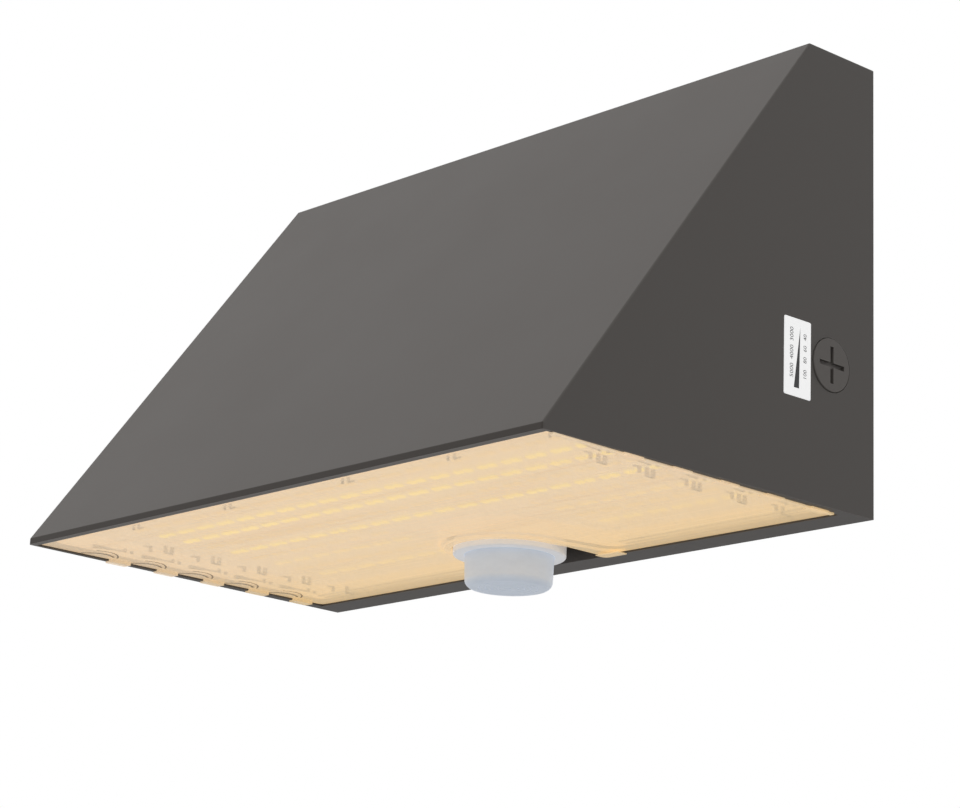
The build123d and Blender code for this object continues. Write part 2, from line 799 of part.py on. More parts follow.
with BuildPart() as led_board_front:
    with BuildSketch(Plane.XY.offset(board_bottom_z)):
        with Locations((0, (board_front_y + board_split_y - board_split_gap) / 2)):
            Rectangle(board_width, board_split_y - board_split_gap - board_front_y)
        with Locations(*front_board_screw_spots):
            Circle(board_screw_radius + screw_hole_clearance, mode=Mode.SUBTRACT)
    extrude(amount=board_thickness)
led_board_front.part.label = "led_board_front"
export_step(led_board_front.part, "parts/led_board_front.step")


def rear_board(side):
    """Light board beside the sensor, on the left (-1) or the right (1)."""
    with BuildPart() as board:
        with BuildSketch(Plane.XY.offset(board_bottom_z)):
            with Locations((side * rear_board_middle_x, (board_split_y + board_rear_y) / 2)):
                Rectangle(board_outer_x - board_inner_edge, board_rear_y - board_split_y)
            with Locations(*rear_board_screw_spots):
                Circle(board_screw_radius + screw_hole_clearance, mode=Mode.SUBTRACT)
        extrude(amount=board_thickness)
    return board.part


with BuildPart() as led_board_left:
    add(rear_board(-1))
led_board_left.part.label = "led_board_left"
export_step(led_board_left.part, "parts/led_board_left.step")

with BuildPart() as led_board_right:
    add(rear_board(1))
led_board_right.part.label = "led_board_right"
export_step(led_board_right.part, "parts/led_board_right.step")

with BuildPart() as board_screws:
    with Locations(*[(x, y, 0) for x, y in board_screw_spots]):
        add(
            screw_on(
                Plane(origin=(0, 0, board_bottom_z), x_dir=(1, 0, 0), z_dir=(0, 0, -1)),
                board_screw_radius,
                board_thickness + tray_thickness,
                board_head_radius,
                board_head_height,
            )
        )
board_screws.part.label = "board_screws"
export_step(board_screws.part, "parts/board_screws.step")


def pair_xs(length):
    """Places of the chip pairs along a board of the given length."""
    return centred(int((length - 2 * pair_edge) / pair_pitch) + 1, pair_pitch)


front_row_ys = [board_split_y - (i + 0.5) * row_pitch for i in range(row_count_front)]
rear_row_ys = [board_split_y + (i + 0.5) * row_pitch for i in range(row_count_rear)]
rear_pair_xs = [
    side * rear_board_middle_x + x
    for side in (-1, 1)
    for x in pair_xs(board_outer_x - board_inner_edge)
]
pair_spots = [(x, y) for y in front_row_ys for x in pair_xs(board_width)]
pair_spots += [(x, y) for y in rear_row_ys for x in rear_pair_xs]


def chips(side):
    """One chip of each pair, left (-1) or right (1) of the pair's middle."""
    with BuildPart() as group:
        with BuildSketch(Plane.XY.offset(board_bottom_z)):
            with Locations(*[(x + side * pair_spread / 2, y) for x, y in pair_spots]):
                Rectangle(chip_length, chip_width)
        extrude(amount=-chip_height)
    return group.part


with BuildPart() as leds_warm:
    add(chips(-1))
leds_warm.part.label = "leds_warm"
export_step(leds_warm.part, "parts/leds_warm.step")

with BuildPart() as leds_cool:
    add(chips(1))
leds_cool.part.label = "leds_cool"
export_step(leds_cool.part, "parts/leds_cool.step")

with BuildPart() as board_connectors:
    with BuildSketch(Plane.XY.offset(board_bottom_z)):
        with Locations(*[(i * board_connector_x, board_split_y) for i in (-1, 1)]):
            Rectangle(board_connector_width, board_connector_length)
    extrude(amount=-board_connector_height)
board_connectors.part.label = "board_connectors"
export_step(board_connectors.part, "parts/board_connectors.step")

# ---------------------------------------------------------------- driver and its bracket
with BuildPart() as driver_bracket:
    with BuildSketch(Plane.XY.offset(driver_bottom_z - bracket_thickness)):
        with Locations(((leg_xs[0] + leg_xs[1]) / 2, plug_y)):
            Rectangle(leg_xs[1] - leg_xs[0], driver_depth)
    extrude(amount=bracket_thickness)
    for x, step in zip(leg_xs, (1, -1)):
        with BuildSketch(Plane.XY.offset(tray_top_z)):
            with Locations((x + step * bracket_thickness / 2, foot_middle_y)):
                Rectangle(bracket_thickness, bracket_leg_depth)
        extrude(amount=driver_bottom_z - bracket_thickness - tray_top_z)
    with BuildSketch(Plane.XY.offset(tray_top_z)):
        with Locations(*[(x, foot_middle_y) for x in foot_middle_xs]):
            Rectangle(bracket_foot, bracket_leg_depth)
        with Locations(*foot_spots):
            Circle(board_screw_radius + screw_hole_clearance, mode=Mode.SUBTRACT)
    extrude(amount=bracket_thickness)
    with BuildSketch(Plane.XY.offset(driver_bottom_z - bracket_thickness)):
        with Locations(*[(x, plug_y) for x in foot_middle_xs]):
            Circle(board_screw_radius + screw_hole_clearance)
    extrude(amount=bracket_thickness, mode=Mode.SUBTRACT)
driver_bracket.part.label = "driver_bracket"
export_step(driver_bracket.part, "parts/driver_bracket.step")

with BuildPart() as bracket_screws:
    with Locations(*[(x, y, 0) for x, y in foot_spots]):
        add(
            screw_on(
                Plane.XY.offset(tray_top_z + bracket_thickness),
                board_screw_radius,
                bracket_thickness + tray_thickness / 2,
                board_head_radius,
                board_head_height,
            )
        )
bracket_screws.part.label = "bracket_screws"
export_step(bracket_screws.part, "parts/bracket_screws.step")

driver_split_z = driver_bottom_z + driver_height - driver_cover_height
driver_middle_x = (driver_left_x + driver_right_end) / 2
slider_ys = [plug_y - switch_spacing / 2, plug_y + switch_spacing / 2]
slider_travels = [cct_travel, power_travel]
with BuildPart() as driver_case:
    with BuildSketch(Plane.XY.offset(driver_bottom_z)):
        with Locations((driver_middle_x, plug_y)):
            Rectangle(driver_length, driver_depth)
    extrude(amount=driver_split_z - driver_bottom_z)
    offset(amount=-driver_wall, openings=driver_case.faces().sort_by(Axis.Z)[-1])
    for y, travel in zip(slider_ys, slider_travels):
        with BuildSketch(Plane.YZ.offset(driver_right_end - driver_wall)):
            with Locations((y, plug_z)):
                Rectangle(
                    slider_width + 2 * slider_clearance,
                    slider_height + travel + 2 * slider_clearance,
                )
        extrude(amount=driver_wall, mode=Mode.SUBTRACT)
    with BuildSketch(Plane.XY.offset(driver_bottom_z)):
        with Locations(*[(x, plug_y) for x in foot_middle_xs]):
            Circle(board_screw_radius + seal_gap)
    extrude(amount=driver_wall, mode=Mode.SUBTRACT)
driver_case.part.label = "driver_case"
export_step(driver_case.part, "parts/driver_case.step")

with BuildPart() as driver_cover:
    with BuildSketch(Plane.XY.offset(driver_split_z)):
        with Locations((driver_middle_x, plug_y)):
            Rectangle(driver_length, driver_depth)
    extrude(amount=driver_cover_height)
    offset(amount=-driver_wall, openings=driver_cover.faces().sort_by(Axis.Z)[0])
    fillet(driver_cover.faces().sort_by(Axis.Z)[-1].edges(), driver_wall / 2)
driver_cover.part.label = "driver_cover"
export_step(driver_cover.part, "parts/driver_cover.step")

with BuildPart() as driver_screws:
    with Locations(*[(x, plug_y, 0) for x in foot_middle_xs]):
        add(
            screw_on(
                Plane(
                    origin=(0, 0, driver_bottom_z - bracket_thickness),
                    x_dir=(1, 0, 0),
                    z_dir=(0, 0, -1),
                ),
                board_screw_radius,
                bracket_thickness + driver_wall,
                board_head_radius,
                board_head_height,
            )
        )
driver_screws.part.label = "driver_screws"
export_step(driver_screws.part, "parts/driver_screws.step")

driver_inner_z = driver_bottom_z + driver_wall
driver_board_z = driver_inner_z + driver_board_height
driver_board_top_z = driver_board_z + driver_board_thickness
board_length = driver_length - 2 * driver_wall - 2 * driver_board_gap
board_depth = driver_depth - 2 * driver_wall - 2 * driver_board_gap
with BuildPart() as driver_board:
    with BuildSketch(Plane.XY.offset(driver_board_z)):
        with Locations((driver_middle_x, plug_y)):
            Rectangle(board_length, board_depth)
    extrude(amount=driver_board_thickness)
    with BuildSketch(Plane.XY.offset(driver_inner_z)):
        with Locations((driver_middle_x, plug_y)):
            with GridLocations(
                board_length - 8 * standoff_radius, board_depth - 4 * standoff_radius, 2, 2
            ):
                Circle(standoff_radius)
    extrude(amount=driver_board_height)
driver_board.part.label = "driver_board"
export_step(driver_board.part, "parts/driver_board.step")

transformer_x = driver_middle_x + transformer_offset
window_width = winding_size + 2 * winding_fit
window_height = winding_height + 2 * winding_fit
winding_z = driver_board_top_z + core_wall + winding_fit
with BuildPart() as transformer_winding:
    with BuildSketch(Plane.XY.offset(winding_z)):
        with Locations((transformer_x, plug_y)):
            RectangleRounded(winding_size, winding_size, core_wall)
            Rectangle(core_leg + 2 * winding_fit, core_leg + 2 * winding_fit, mode=Mode.SUBTRACT)
    extrude(amount=winding_height)
transformer_winding.part.label = "transformer_winding"
export_step(transformer_winding.part, "parts/transformer_winding.step")

with BuildPart() as transformer_core:
    with BuildSketch(Plane.XZ.offset(-plug_y - core_leg / 2)):
        with Locations((transformer_x, winding_z + winding_height / 2)):
            Rectangle(window_width + 4 * core_wall, window_height + 2 * core_wall)
            Rectangle(window_width, window_height, mode=Mode.SUBTRACT)
            Rectangle(core_leg, window_height)
    extrude(amount=core_leg)
transformer_core.part.label = "transformer_core"
export_step(transformer_core.part, "parts/transformer_core.step")

capacitor_x = driver_middle_x - capacitor_offset
capacitor_xs = [capacitor_x - capacitor_pitch / 2, capacitor_x + capacitor_pitch / 2]
with BuildPart() as driver_capacitors:
    with BuildSketch(Plane.XY.offset(driver_board_top_z)):
        with Locations(*[(x, plug_y) for x in capacitor_xs]):
            Circle(capacitor_radius)
    extrude(amount=capacitor_height)
    fillet(driver_capacitors.faces().filter_by(Plane.XY).group_by(Axis.Z)[-1].edges(), capacitor_round)
driver_capacitors.part.label = "driver_capacitors"
export_step(driver_capacitors.part, "parts/driver_capacitors.step")

# ---------------------------------------------------------------- selector switches
switch_front_x = driver_right_end - driver_wall - switch_wall_gap
with BuildPart() as selector_switches:
    with BuildSketch(Plane.XY.offset(driver_board_top_z)):
        with Locations(*[(switch_front_x - switch_depth / 2, y) for y in slider_ys]):
            Rectangle(switch_depth, switch_width)
    extrude(amount=switch_height)
    for y, travel in zip(slider_ys, slider_travels):
        with BuildSketch(Plane.YZ.offset(switch_front_x - switch_channel_depth)):
            with Locations((y, plug_z)):
                Rectangle(
                    slider_foot_width + 2 * slider_clearance,
                    slider_foot_height + travel + 2 * slider_clearance,
                )
        extrude(amount=switch_channel_depth, mode=Mode.SUBTRACT)
selector_switches.part.label = "selector_switches"
export_step(selector_switches.part, "parts/selector_switches.step")


def slider(y, travel):
    """Switch slider at the bottom of its travel."""
    middle_z = plug_z - travel / 2
    foot_x = switch_front_x - slider_clearance
    with BuildPart() as knob:
        with BuildSketch(Plane.YZ.offset(foot_x)):
            with Locations((y, middle_z)):
                Rectangle(slider_foot_width, slider_foot_height)
        extrude(amount=-slider_foot_depth)
        with BuildSketch(Plane.YZ.offset(foot_x)):
            with Locations((y, middle_z)):
                Rectangle(slider_width, slider_height)
        extrude(amount=driver_right_end + slider_reach - foot_x)
        fillet(knob.faces().sort_by(Axis.X)[-1].edges(), slider_round)
    return knob.part


with BuildPart() as colour_slider:
    add(slider(slider_ys[0], cct_travel))
colour_slider.part.label = "colour_slider"
export_step(colour_slider.part, "parts/colour_slider.step")

with BuildPart() as power_slider:
    add(slider(slider_ys[1], power_travel))
power_slider.part.label = "power_slider"
export_step(power_slider.part, "parts/power_slider.step")

# ---------------------------------------------------------------- side plug, its seal and the label
with BuildPart() as plug_seal:
    with BuildSketch(plug_plane.offset(plug_seat_x + seal_gap)):
        Circle(plug_head_radius - plug_clearance)
        Circle(plug_thread_radius + seal_gap, mode=Mode.SUBTRACT)
    extrude(amount=seal_thickness)
plug_seal.part.label = "plug_seal"
export_step(plug_seal.part, "parts/plug_seal.step")

with BuildPart() as side_plug:
    with BuildSketch(plug_plane.offset(plug_underside_x)):
        Circle(plug_head_radius)
    extrude(amount=plug_head_thickness)
    fillet(side_plug.faces().sort_by(Axis.X)[-1].edges(), plug_round)
    with BuildSketch(plug_plane.offset(plug_underside_x)):
        Circle(plug_thread_radius)
    extrude(amount=-plug_thread_length)
    chamfer(side_plug.faces().sort_by(Axis.X)[0].edges(), plug_lead_in)
    with BuildSketch(plug_plane.offset(plug_face_x)):
        Rectangle(plug_slot_length, plug_slot_width)
        Rectangle(plug_slot_width, plug_slot_length)
    extrude(amount=-plug_slot_depth, mode=Mode.SUBTRACT)
side_plug.part.label = "side_plug"
export_step(side_plug.part, "parts/side_plug.step")

label_y = rear_y - label_offset
label_plane = Plane(
    origin=(side_x(label_y), label_y, rim_z + label_centre_height),
    x_dir=(side_taper, 1, 0),
    z_dir=(1, -side_taper, 0),
)
with BuildPart() as selector_label:
    with BuildSketch(label_plane):
        RectangleRounded(label_width, label_height, label_corner_radius)
    extrude(amount=label_thickness)
selector_label.part.label = "selector_label"
export_step(selector_label.part, "parts/selector_label.step")

# ---------------------------------------------------------------- sensor socket
sensor_axis_plane = Plane(origin=(0, sensor_y, 0), x_dir=(1, 0, 0), z_dir=(0, 0, 1))
neck_top_z = flange_top_z + sensor_neck_height
socket_bore_top_z = neck_top_z + ear_clearance
socket_top_z = tray_bottom_z + tray_thickness + socket_neck_height
ear_z = flange_top_z + sensor_neck_height / 2 - ear_height / 2


def ear_sketch(radius, turn, angle):
    """Two opposite sectors of the given radius and angle, turned about the sensor axis."""
    with BuildSketch() as sectors:
        with Locations((0, sensor_y)):
            Circle(radius)
        for way in (0, 180):
            start = math.radians(turn + way + angle / 2)
            end = math.radians(turn + way + 180 - angle / 2)
            with BuildLine():
                Polyline(
                    (0, sensor_y),
                    (3 * radius * math.cos(start), sensor_y + 3 * radius * math.sin(start)),
                    (
                        4 * radius * math.cos((start + end) / 2),
                        sensor_y + 4 * radius * math.sin((start + end) / 2),
                    ),
                    (3 * radius * math.cos(end), sensor_y + 3 * radius * math.sin(end)),
                    close=True,
                )
            make_face(mode=Mode.SUBTRACT)
    return sectors.sketch


with BuildPart() as sensor_socket:
    with BuildSketch(Plane.XY.offset(socket_face_z)):
        add(notch_sketch(-socket_clearance, well_rear_y - lens_fit))
    extrude(amount=tray_bottom_z - socket_face_z)
    with BuildSketch(sensor_axis_plane.offset(tray_bottom_z)):
        Circle(socket_neck_radius)
    extrude(amount=socket_top_z - tray_bottom_z)
    with BuildSketch(sensor_axis_plane.offset(socket_face_z)):
        Circle(sensor_neck_radius + sensor_neck_clearance)
    extrude(amount=socket_bore_top_z - socket_face_z, mode=Mode.SUBTRACT)
    with BuildSketch(sensor_axis_plane.offset(ear_z - ear_clearance)):
        Circle(sensor_neck_radius + ear_reach + ear_clearance)
    extrude(amount=ear_height + 2 * ear_clearance, mode=Mode.SUBTRACT)
    with BuildSketch(Plane.XY.offset(socket_face_z)):
        add(
            ear_sketch(
                sensor_neck_radius + ear_reach + 2 * ear_clearance,
                unlock_angle,
                ear_angle + 4 * ear_clearance,
            )
        )
    extrude(amount=ear_z - socket_face_z, mode=Mode.SUBTRACT)
    with BuildSketch(sensor_axis_plane.offset(socket_bore_top_z)):
        Circle(contact_circle + contact_radius + contact_clearance)
        Circle(contact_circle - contact_radius - contact_clearance, mode=Mode.SUBTRACT)
    extrude(amount=contact_stand_out + ear_clearance, mode=Mode.SUBTRACT)
sensor_socket.part.label = "sensor_socket"
export_step(sensor_socket.part, "parts/sensor_socket.step")

with BuildPart() as socket_ring:
    with BuildSketch(sensor_axis_plane.offset(tray_top_z)):
        RegularPolygon(socket_neck_radius + socket_ring_width, 12)
        Circle(socket_neck_radius + seal_gap, mode=Mode.SUBTRACT)
    extrude(amount=socket_ring_thickness)
socket_ring.part.label = "socket_ring"
export_step(socket_ring.part, "parts/socket_ring.step")

with BuildPart() as sensor_gasket:
    with BuildSketch(sensor_axis_plane.offset(socket_face_z)):
        Circle(sensor_neck_radius + ear_reach + 1 + sensor_gasket_width)
        Circle(sensor_neck_radius + ear_reach + 1, mode=Mode.SUBTRACT)
    extrude(amount=-sensor_gasket_thickness)
sensor_gasket.part.label = "sensor_gasket"
export_step(sensor_gasket.part, "parts/sensor_gasket.step")

# ---------------------------------------------------------------- sensor head
flange_inner_radius = sensor_body_radius + sensor_fit
sensor_board_top_z = sensor_inner_z - sensor_board_drop
contact_spots = [
    (
        contact_circle * math.cos(2 * math.pi * i / contact_count),
        contact_circle * math.sin(2 * math.pi * i / contact_count),
    )
    for i in range(contact_count)
]
post_spots = [(-sensor_post_spacing / 2, 0), (sensor_post_spacing / 2, 0)]
with BuildPart() as sensor_base:
    with BuildSketch(sensor_axis_plane.offset(flange_face_z)):
        Circle(sensor_flange_radius)
    extrude(amount=sensor_flange_height)
    fillet(sensor_base.faces().sort_by(Axis.Z)[0].edges(), sensor_flange_round)
    with BuildSketch(sensor_axis_plane.offset(flange_face_z)):
        Circle(flange_inner_radius)
    extrude(amount=sensor_inner_z - flange_face_z, mode=Mode.SUBTRACT)
    with BuildSketch(sensor_axis_plane.offset(flange_top_z)):
        Circle(sensor_neck_radius)
    extrude(amount=sensor_neck_height)
    with BuildSketch(sensor_axis_plane.offset(sensor_inner_z)):
        Circle(sensor_neck_radius - neck_wall)
    extrude(amount=sensor_floor + sensor_neck_height - neck_roof, mode=Mode.SUBTRACT)
    with BuildSketch(Plane.XY.offset(ear_z)):
        add(ear_sketch(sensor_neck_radius + ear_reach, 0, ear_angle))
        with Locations((0, sensor_y)):
            Circle(sensor_neck_radius - neck_wall / 2, mode=Mode.SUBTRACT)
    extrude(amount=ear_height)
    with BuildSketch(sensor_axis_plane.offset(sensor_board_top_z)):
        with Locations(*post_spots):
            Circle(sensor_post_radius)
    extrude(amount=sensor_board_drop)
    with BuildSketch(sensor_axis_plane.offset(sensor_inner_z)):
        with Locations(*contact_spots):
            Circle(contact_radius + seal_gap)
    extrude(amount=neck_top_z - sensor_inner_z, mode=Mode.SUBTRACT)
sensor_base.part.label = "sensor_base"
export_step(sensor_base.part, "parts/sensor_base.step")

cover_bottom_z = flange_face_z - sensor_body_height
with BuildPart() as sensor_cover:
    with BuildSketch(sensor_axis_plane.offset(cover_bottom_z)):
        Circle(sensor_body_radius)
    extrude(amount=sensor_inner_z - cover_bottom_z)
    fillet(sensor_cover.faces().sort_by(Axis.Z)[0].edges(), sensor_body_round)
    offset(amount=-sensor_wall, openings=sensor_cover.faces().sort_by(Axis.Z)[-1])
sensor_cover.part.label = "sensor_cover"
export_step(sensor_cover.part, "parts/sensor_cover.step")

with BuildPart() as sensor_board:
    with BuildSketch(sensor_axis_plane.offset(sensor_board_top_z)):
        Circle(sensor_board_radius)
        with Locations(*contact_spots):
            Circle(contact_radius + seal_gap, mode=Mode.SUBTRACT)
    extrude(amount=-sensor_board_thickness)
sensor_board.part.label = "sensor_board"
export_step(sensor_board.part, "parts/sensor_board.step")

with BuildPart() as photocell:
    with BuildSketch(sensor_axis_plane.offset(sensor_board_top_z - sensor_board_thickness)):
        Circle(photocell_radius)
    extrude(amount=-photocell_height)
photocell.part.label = "photocell"
export_step(photocell.part, "parts/photocell.step")

with BuildPart() as sensor_contacts:
    with BuildSketch(sensor_axis_plane.offset(sensor_board_top_z - sensor_board_thickness)):
        with Locations(*contact_spots):
            Circle(contact_radius)
    extrude(amount=neck_top_z + contact_stand_out - sensor_board_top_z + sensor_board_thickness)
sensor_contacts.part.label = "sensor_contacts"
export_step(sensor_contacts.part, "parts/sensor_contacts.step")

# ---------------------------------------------------------------- inner leads
led_lead_z = rim_z + led_lead_height
with BuildPart() as led_leads:
    for x in led_lead_xs:
        add(
            lead(
                Vector(x, driver_front_y, led_lead_z),
                Vector(x, led_lead_drop_y, led_lead_z),
                Vector(x, led_lead_drop_y, board_top_z),
            )
        )
led_leads.part.label = "led_leads"
export_step(led_leads.part, "parts/led_leads.step")

sensor_lead_ys = [-sensor_lead_y - lead_spacing / 2, -sensor_lead_y + lead_spacing / 2]
with BuildPart() as sensor_leads:
    for y in sensor_lead_ys:
        add(
            lead(
                Vector(0, y, socket_top_z),
                Vector(0, y, rim_z + sensor_lead_height),
                Vector(driver_left_x, y, rim_z + sensor_lead_height),
            )
        )
sensor_leads.part.label = "sensor_leads"
export_step(sensor_leads.part, "parts/sensor_leads.step")
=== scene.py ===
import json
import math
from functools import partial

import bmesh
import bpy
from bpy.props import FloatProperty, FloatVectorProperty, PointerProperty
from mathutils import Matrix, Vector

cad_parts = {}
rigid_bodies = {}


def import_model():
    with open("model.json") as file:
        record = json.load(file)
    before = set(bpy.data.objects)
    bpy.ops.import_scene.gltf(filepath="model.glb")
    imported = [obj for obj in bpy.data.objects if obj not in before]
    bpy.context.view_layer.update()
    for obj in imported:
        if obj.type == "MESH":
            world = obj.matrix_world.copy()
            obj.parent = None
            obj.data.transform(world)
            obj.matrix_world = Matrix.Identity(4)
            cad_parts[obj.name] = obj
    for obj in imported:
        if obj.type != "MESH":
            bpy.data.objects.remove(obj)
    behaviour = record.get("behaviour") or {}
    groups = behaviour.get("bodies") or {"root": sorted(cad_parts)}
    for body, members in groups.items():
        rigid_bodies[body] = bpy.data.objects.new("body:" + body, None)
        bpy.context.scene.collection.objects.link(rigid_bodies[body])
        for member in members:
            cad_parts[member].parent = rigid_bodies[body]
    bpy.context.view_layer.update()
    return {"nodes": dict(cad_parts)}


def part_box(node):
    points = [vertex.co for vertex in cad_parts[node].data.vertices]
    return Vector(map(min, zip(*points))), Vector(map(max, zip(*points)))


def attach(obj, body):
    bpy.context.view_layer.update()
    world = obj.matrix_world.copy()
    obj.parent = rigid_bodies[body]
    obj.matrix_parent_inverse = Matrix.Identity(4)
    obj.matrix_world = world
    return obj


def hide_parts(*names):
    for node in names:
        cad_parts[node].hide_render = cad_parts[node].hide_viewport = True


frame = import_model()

bl_info = {
    "name": "Wall Pack Light",
    "version": (1, 0, 0),
    "blender": (4, 5, 0),
    "location": "View3D > Sidebar > Wall Light",
    "description": "Finishes, small moulded details and a studio stage for a wall pack light",
    "category": "Object",
}

MM = 0.001
FLOAT = "NodeSocketFloat"
VECTOR = "NodeSocketVector"
COLOR = "NodeSocketColor"


def box_mm(name):
    """Lowest and highest corner of a CAD node, in millimetres."""
    low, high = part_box(name)
    return low / MM, high / MM


LENS_LOW, LENS_HIGH = box_mm("lens")
HOUSING_LOW, HOUSING_HIGH = box_mm("housing")
SENSOR_LOW, SENSOR_HIGH = box_mm("sensor_base")
COVER_LOW, COVER_HIGH = box_mm("sensor_cover")
LABEL_LOW, LABEL_HIGH = box_mm("selector_label")
BOARD_HIGH = box_mm("led_board_front")[1]
CHIPS_LOW = box_mm("leds_warm")[0]
SENSOR_X = (COVER_LOW.x + COVER_HIGH.x) / 2
SENSOR_Y = (COVER_LOW.y + COVER_HIGH.y) / 2

# Lens plate, in millimetres: its faces, its snap tabs and the notch for the sensor.
LENS_RECESS = 0.8
LENS_THICKNESS = 2.0
LENS_FACE_Z = HOUSING_LOW.z + LENS_RECESS
LENS_INNER_Z = LENS_FACE_Z + LENS_THICKNESS
LENS_HALF_WIDTH = 173.2
TAB_COUNT = 5
TAB_PITCH = 29.6
FIRST_TAB_Y = HOUSING_HIGH.y - 31.5
TAB_YS = [FIRST_TAB_Y - i * TAB_PITCH for i in range(TAB_COUNT)]
NOTCH_RADIUS = 31.5
NOTCH_MOUTH_HALF = 38.0
NOTCH_MOUTH_ROUND = 9.0
RIB_DRAFT = 0.7

# Clip sets beside the snap tabs. A post's place is from the middle plane and the tab's middle.
HOOK_X = 149.4
STOP_X = 146.9
CLIP_POSTS = (  # x, y, width, depth, rise
    (HOOK_X, 1.5, 1.3, 1.4, 2.8),
    (STOP_X, 8.8, 1.4, 1.5, 3.8),
    (STOP_X, 12.7, 1.5, 1.6, 3.8),
    (161.2, -5.2, 1.3, 1.4, 1.8),
    (161.8, -0.6, 1.4, 1.6, 1.3),
)
SCALLOP_DROP = 0.12
SCALLOP_RISE = 0.1
FRONT_CLIP_XS = (-114.7, -46.2, 35.3, 102.3, 162.3)
FRONT_CLIP_Y = -185.3
REAR_RIBS = ((4.2, 0.9), (9.0, 0.7))  # inset from the rear edge, width

# Rows of chips and the leads, in millimetres.
ROW_PITCH = 15.15
PAIR_PITCH = 15.0
PAIR_SPREAD = 6.0
REAR_ROWS = 4
REAR_PAIRS = 7
FRONT_ROWS = 6
FRONT_PAIRS = 20
CHIP_LENGTH = 3.5
CHIP_WIDTH = 2.8
DOME_MARGIN = 1.2
DOME_ROUND = 1.2
DOME_RISE = 0.25
DOME_SINK = 0.2
LEAD_RADIUS = 1.0

# The label: its film, and its numbers with the place of each along the label, in millimetres.
LABEL_THICKNESS = 0.2
INK_LIFT = 0.02
FONT_SIZE_PER_HEIGHT = 1.25
COLOUR_STEPS = (("5000", 11.4), ("4000", 19.6), ("3000", 27.8))
POWER_STEPS = (("100", 11.0), ("80", 17.6), ("60", 22.8), ("40", 28.0))

# The lens' colour change towards the rear (places in millimetres), and the opacity of its walls.
REAR_TINT = (1.0, 0.96, 0.8)
TINT_START_Y = -110
TINT_END_Y = -30
SKIRT_OPACITY = 0.93

# The casting's front lip: the sizes of its face and rim in millimetres, the painted shade on the lip's
# face and the painted light on the rim under it.
FRONT_RIM_WIDTH = 4.4
LIP_HEIGHT = 3.1
# Painted shade: the lip's upright face, darkened where it turns away from the light.
LIP_PAINTED_SHADE = (0.048, 0.041, 0.036)
# Painted light: the rim under the lip, lightened where the lens' glow falls on it.
RIM_PAINTED_LIGHT = (0.18, 0.165, 0.155)

# How much lighter the plug's coat is than the casting's.
PLUG_SHADE = 1.25

WHITE = (1.0, 1.0, 1.0)
GREY = (0.5, 0.5, 0.5, 1.0)

# The camera and the lamp, in metres.
CAMERA_PLACE = Vector((0.9267, -0.9470, -0.3912))
CAMERA_RIGHT = Vector((0.6928, 0.7202, 0.0370))
CAMERA_UP = Vector((0.1663, -0.2095, 0.9636))
CAMERA_LENS = 104.0035
LAMP_PLACE = Vector((-0.9, -1.9, 1.1))
LAMP_AIM = Vector((0.0, -0.1, 0.0))
LAMP_SIZE = 1.4
FLOOR_HALF = 6000.0


# ---------------------------------------------------------------- node trees
def link_or_set(tree, value, socket):
    """An input linked to another node's output, or set to a plain value."""
    if isinstance(value, bpy.types.NodeSocket):
        tree.links.new(value, socket)
    else:
        socket.default_value = value


def add_node(tree, kind, inputs=None, **settings):
    """A shader node of a kind with its settings, and its inputs linked or set."""
    made = tree.nodes.new("ShaderNode" + kind)
    for key, value in settings.items():
        setattr(made, key, value)
    for key, value in (inputs or {}).items():
        link_or_set(tree, value, made.inputs[key])
    return made


def math_node(tree, operation, *values):
    """The result of one Math node."""
    return add_node(tree, "Math", dict(enumerate(values)), operation=operation).outputs[0]


def vector_math(tree, operation, first, second):
    """The Vector Math node that joins two values."""
    return add_node(tree, "VectorMath", {0: first, 1: second}, operation=operation)


def remap(tree, value, low, high, to_low=0.0, to_high=1.0):
    """A value mapped from one range to another."""
    inputs = {"Value": value, "From Min": low, "From Max": high, "To Min": to_low, "To Max": to_high}
    return add_node(tree, "MapRange", inputs).outputs[0]


def object_place(tree):
    """The shaded point's place on the object."""
    return add_node(tree, "TexCoord").outputs["Object"]


def object_axes(tree):
    """The shaded point's place as three numbers."""
    return add_node(tree, "SeparateXYZ", {"Vector": object_place(tree)}).outputs


def noise(tree, place, scale, detail, **inputs):
    """The level of a noise texture."""
    given = {"Vector": place, "Scale": scale, "Detail": detail, **inputs}
    return add_node(tree, "TexNoise", given).outputs["Fac"]


def mix_color(tree, factor, first, second):
    """Two colours mixed by a mask."""
    inputs = {0: factor, 6: first, 7: second}
    return add_node(tree, "Mix", data_type="RGBA", inputs=inputs).outputs[2]


def rgba(color):
    """A colour with full alpha."""
    return (color[0], color[1], color[2], 1.0)


def seen_by_eye(tree):
    """One for rays from the camera, straight or by a mirror or a clear piece, and else zero."""
    rays = add_node(tree, "LightPath").outputs
    seen = math_node(tree, "MAXIMUM", rays["Is Camera Ray"], rays["Is Glossy Ray"])
    return math_node(tree, "MAXIMUM", seen, rays["Is Transmission Ray"])


# ---------------------------------------------------------------- shared node groups
def build_group(name, fill, inputs):
    """A node group with named sockets. A function fills it and returns what it puts out."""
    tree = bpy.data.node_groups.new(name, "ShaderNodeTree")
    for label, value in inputs.items():
        kind = FLOAT if isinstance(value, float) else COLOR if len(value) == 4 else VECTOR
        tree.interface.new_socket(name=label, in_out="INPUT", socket_type=kind).default_value = value
    made = fill(tree, tree.nodes.new("NodeGroupInput").outputs)
    for label, socket in made.items():
        kind = COLOR if label == "Color" else FLOAT
        tree.interface.new_socket(name=label, in_out="OUTPUT", socket_type=kind)
    ends = tree.nodes.new("NodeGroupOutput").inputs
    for label, socket in made.items():
        tree.links.new(socket, ends[label])
    return tree


def fill_grain(tree, given):
    """Slow tone changes and a fine height, both stretched along the object's axes."""
    stretched = vector_math(tree, "MULTIPLY", object_place(tree), given["Stretch"]).outputs[0]
    slow = noise(tree, stretched, given["Tone Scale"], 4.0, Roughness=0.6)
    fine = noise(tree, stretched, given["Scale"], 2.0, Roughness=0.5)
    return {"Tone": slow, "Height": fine}


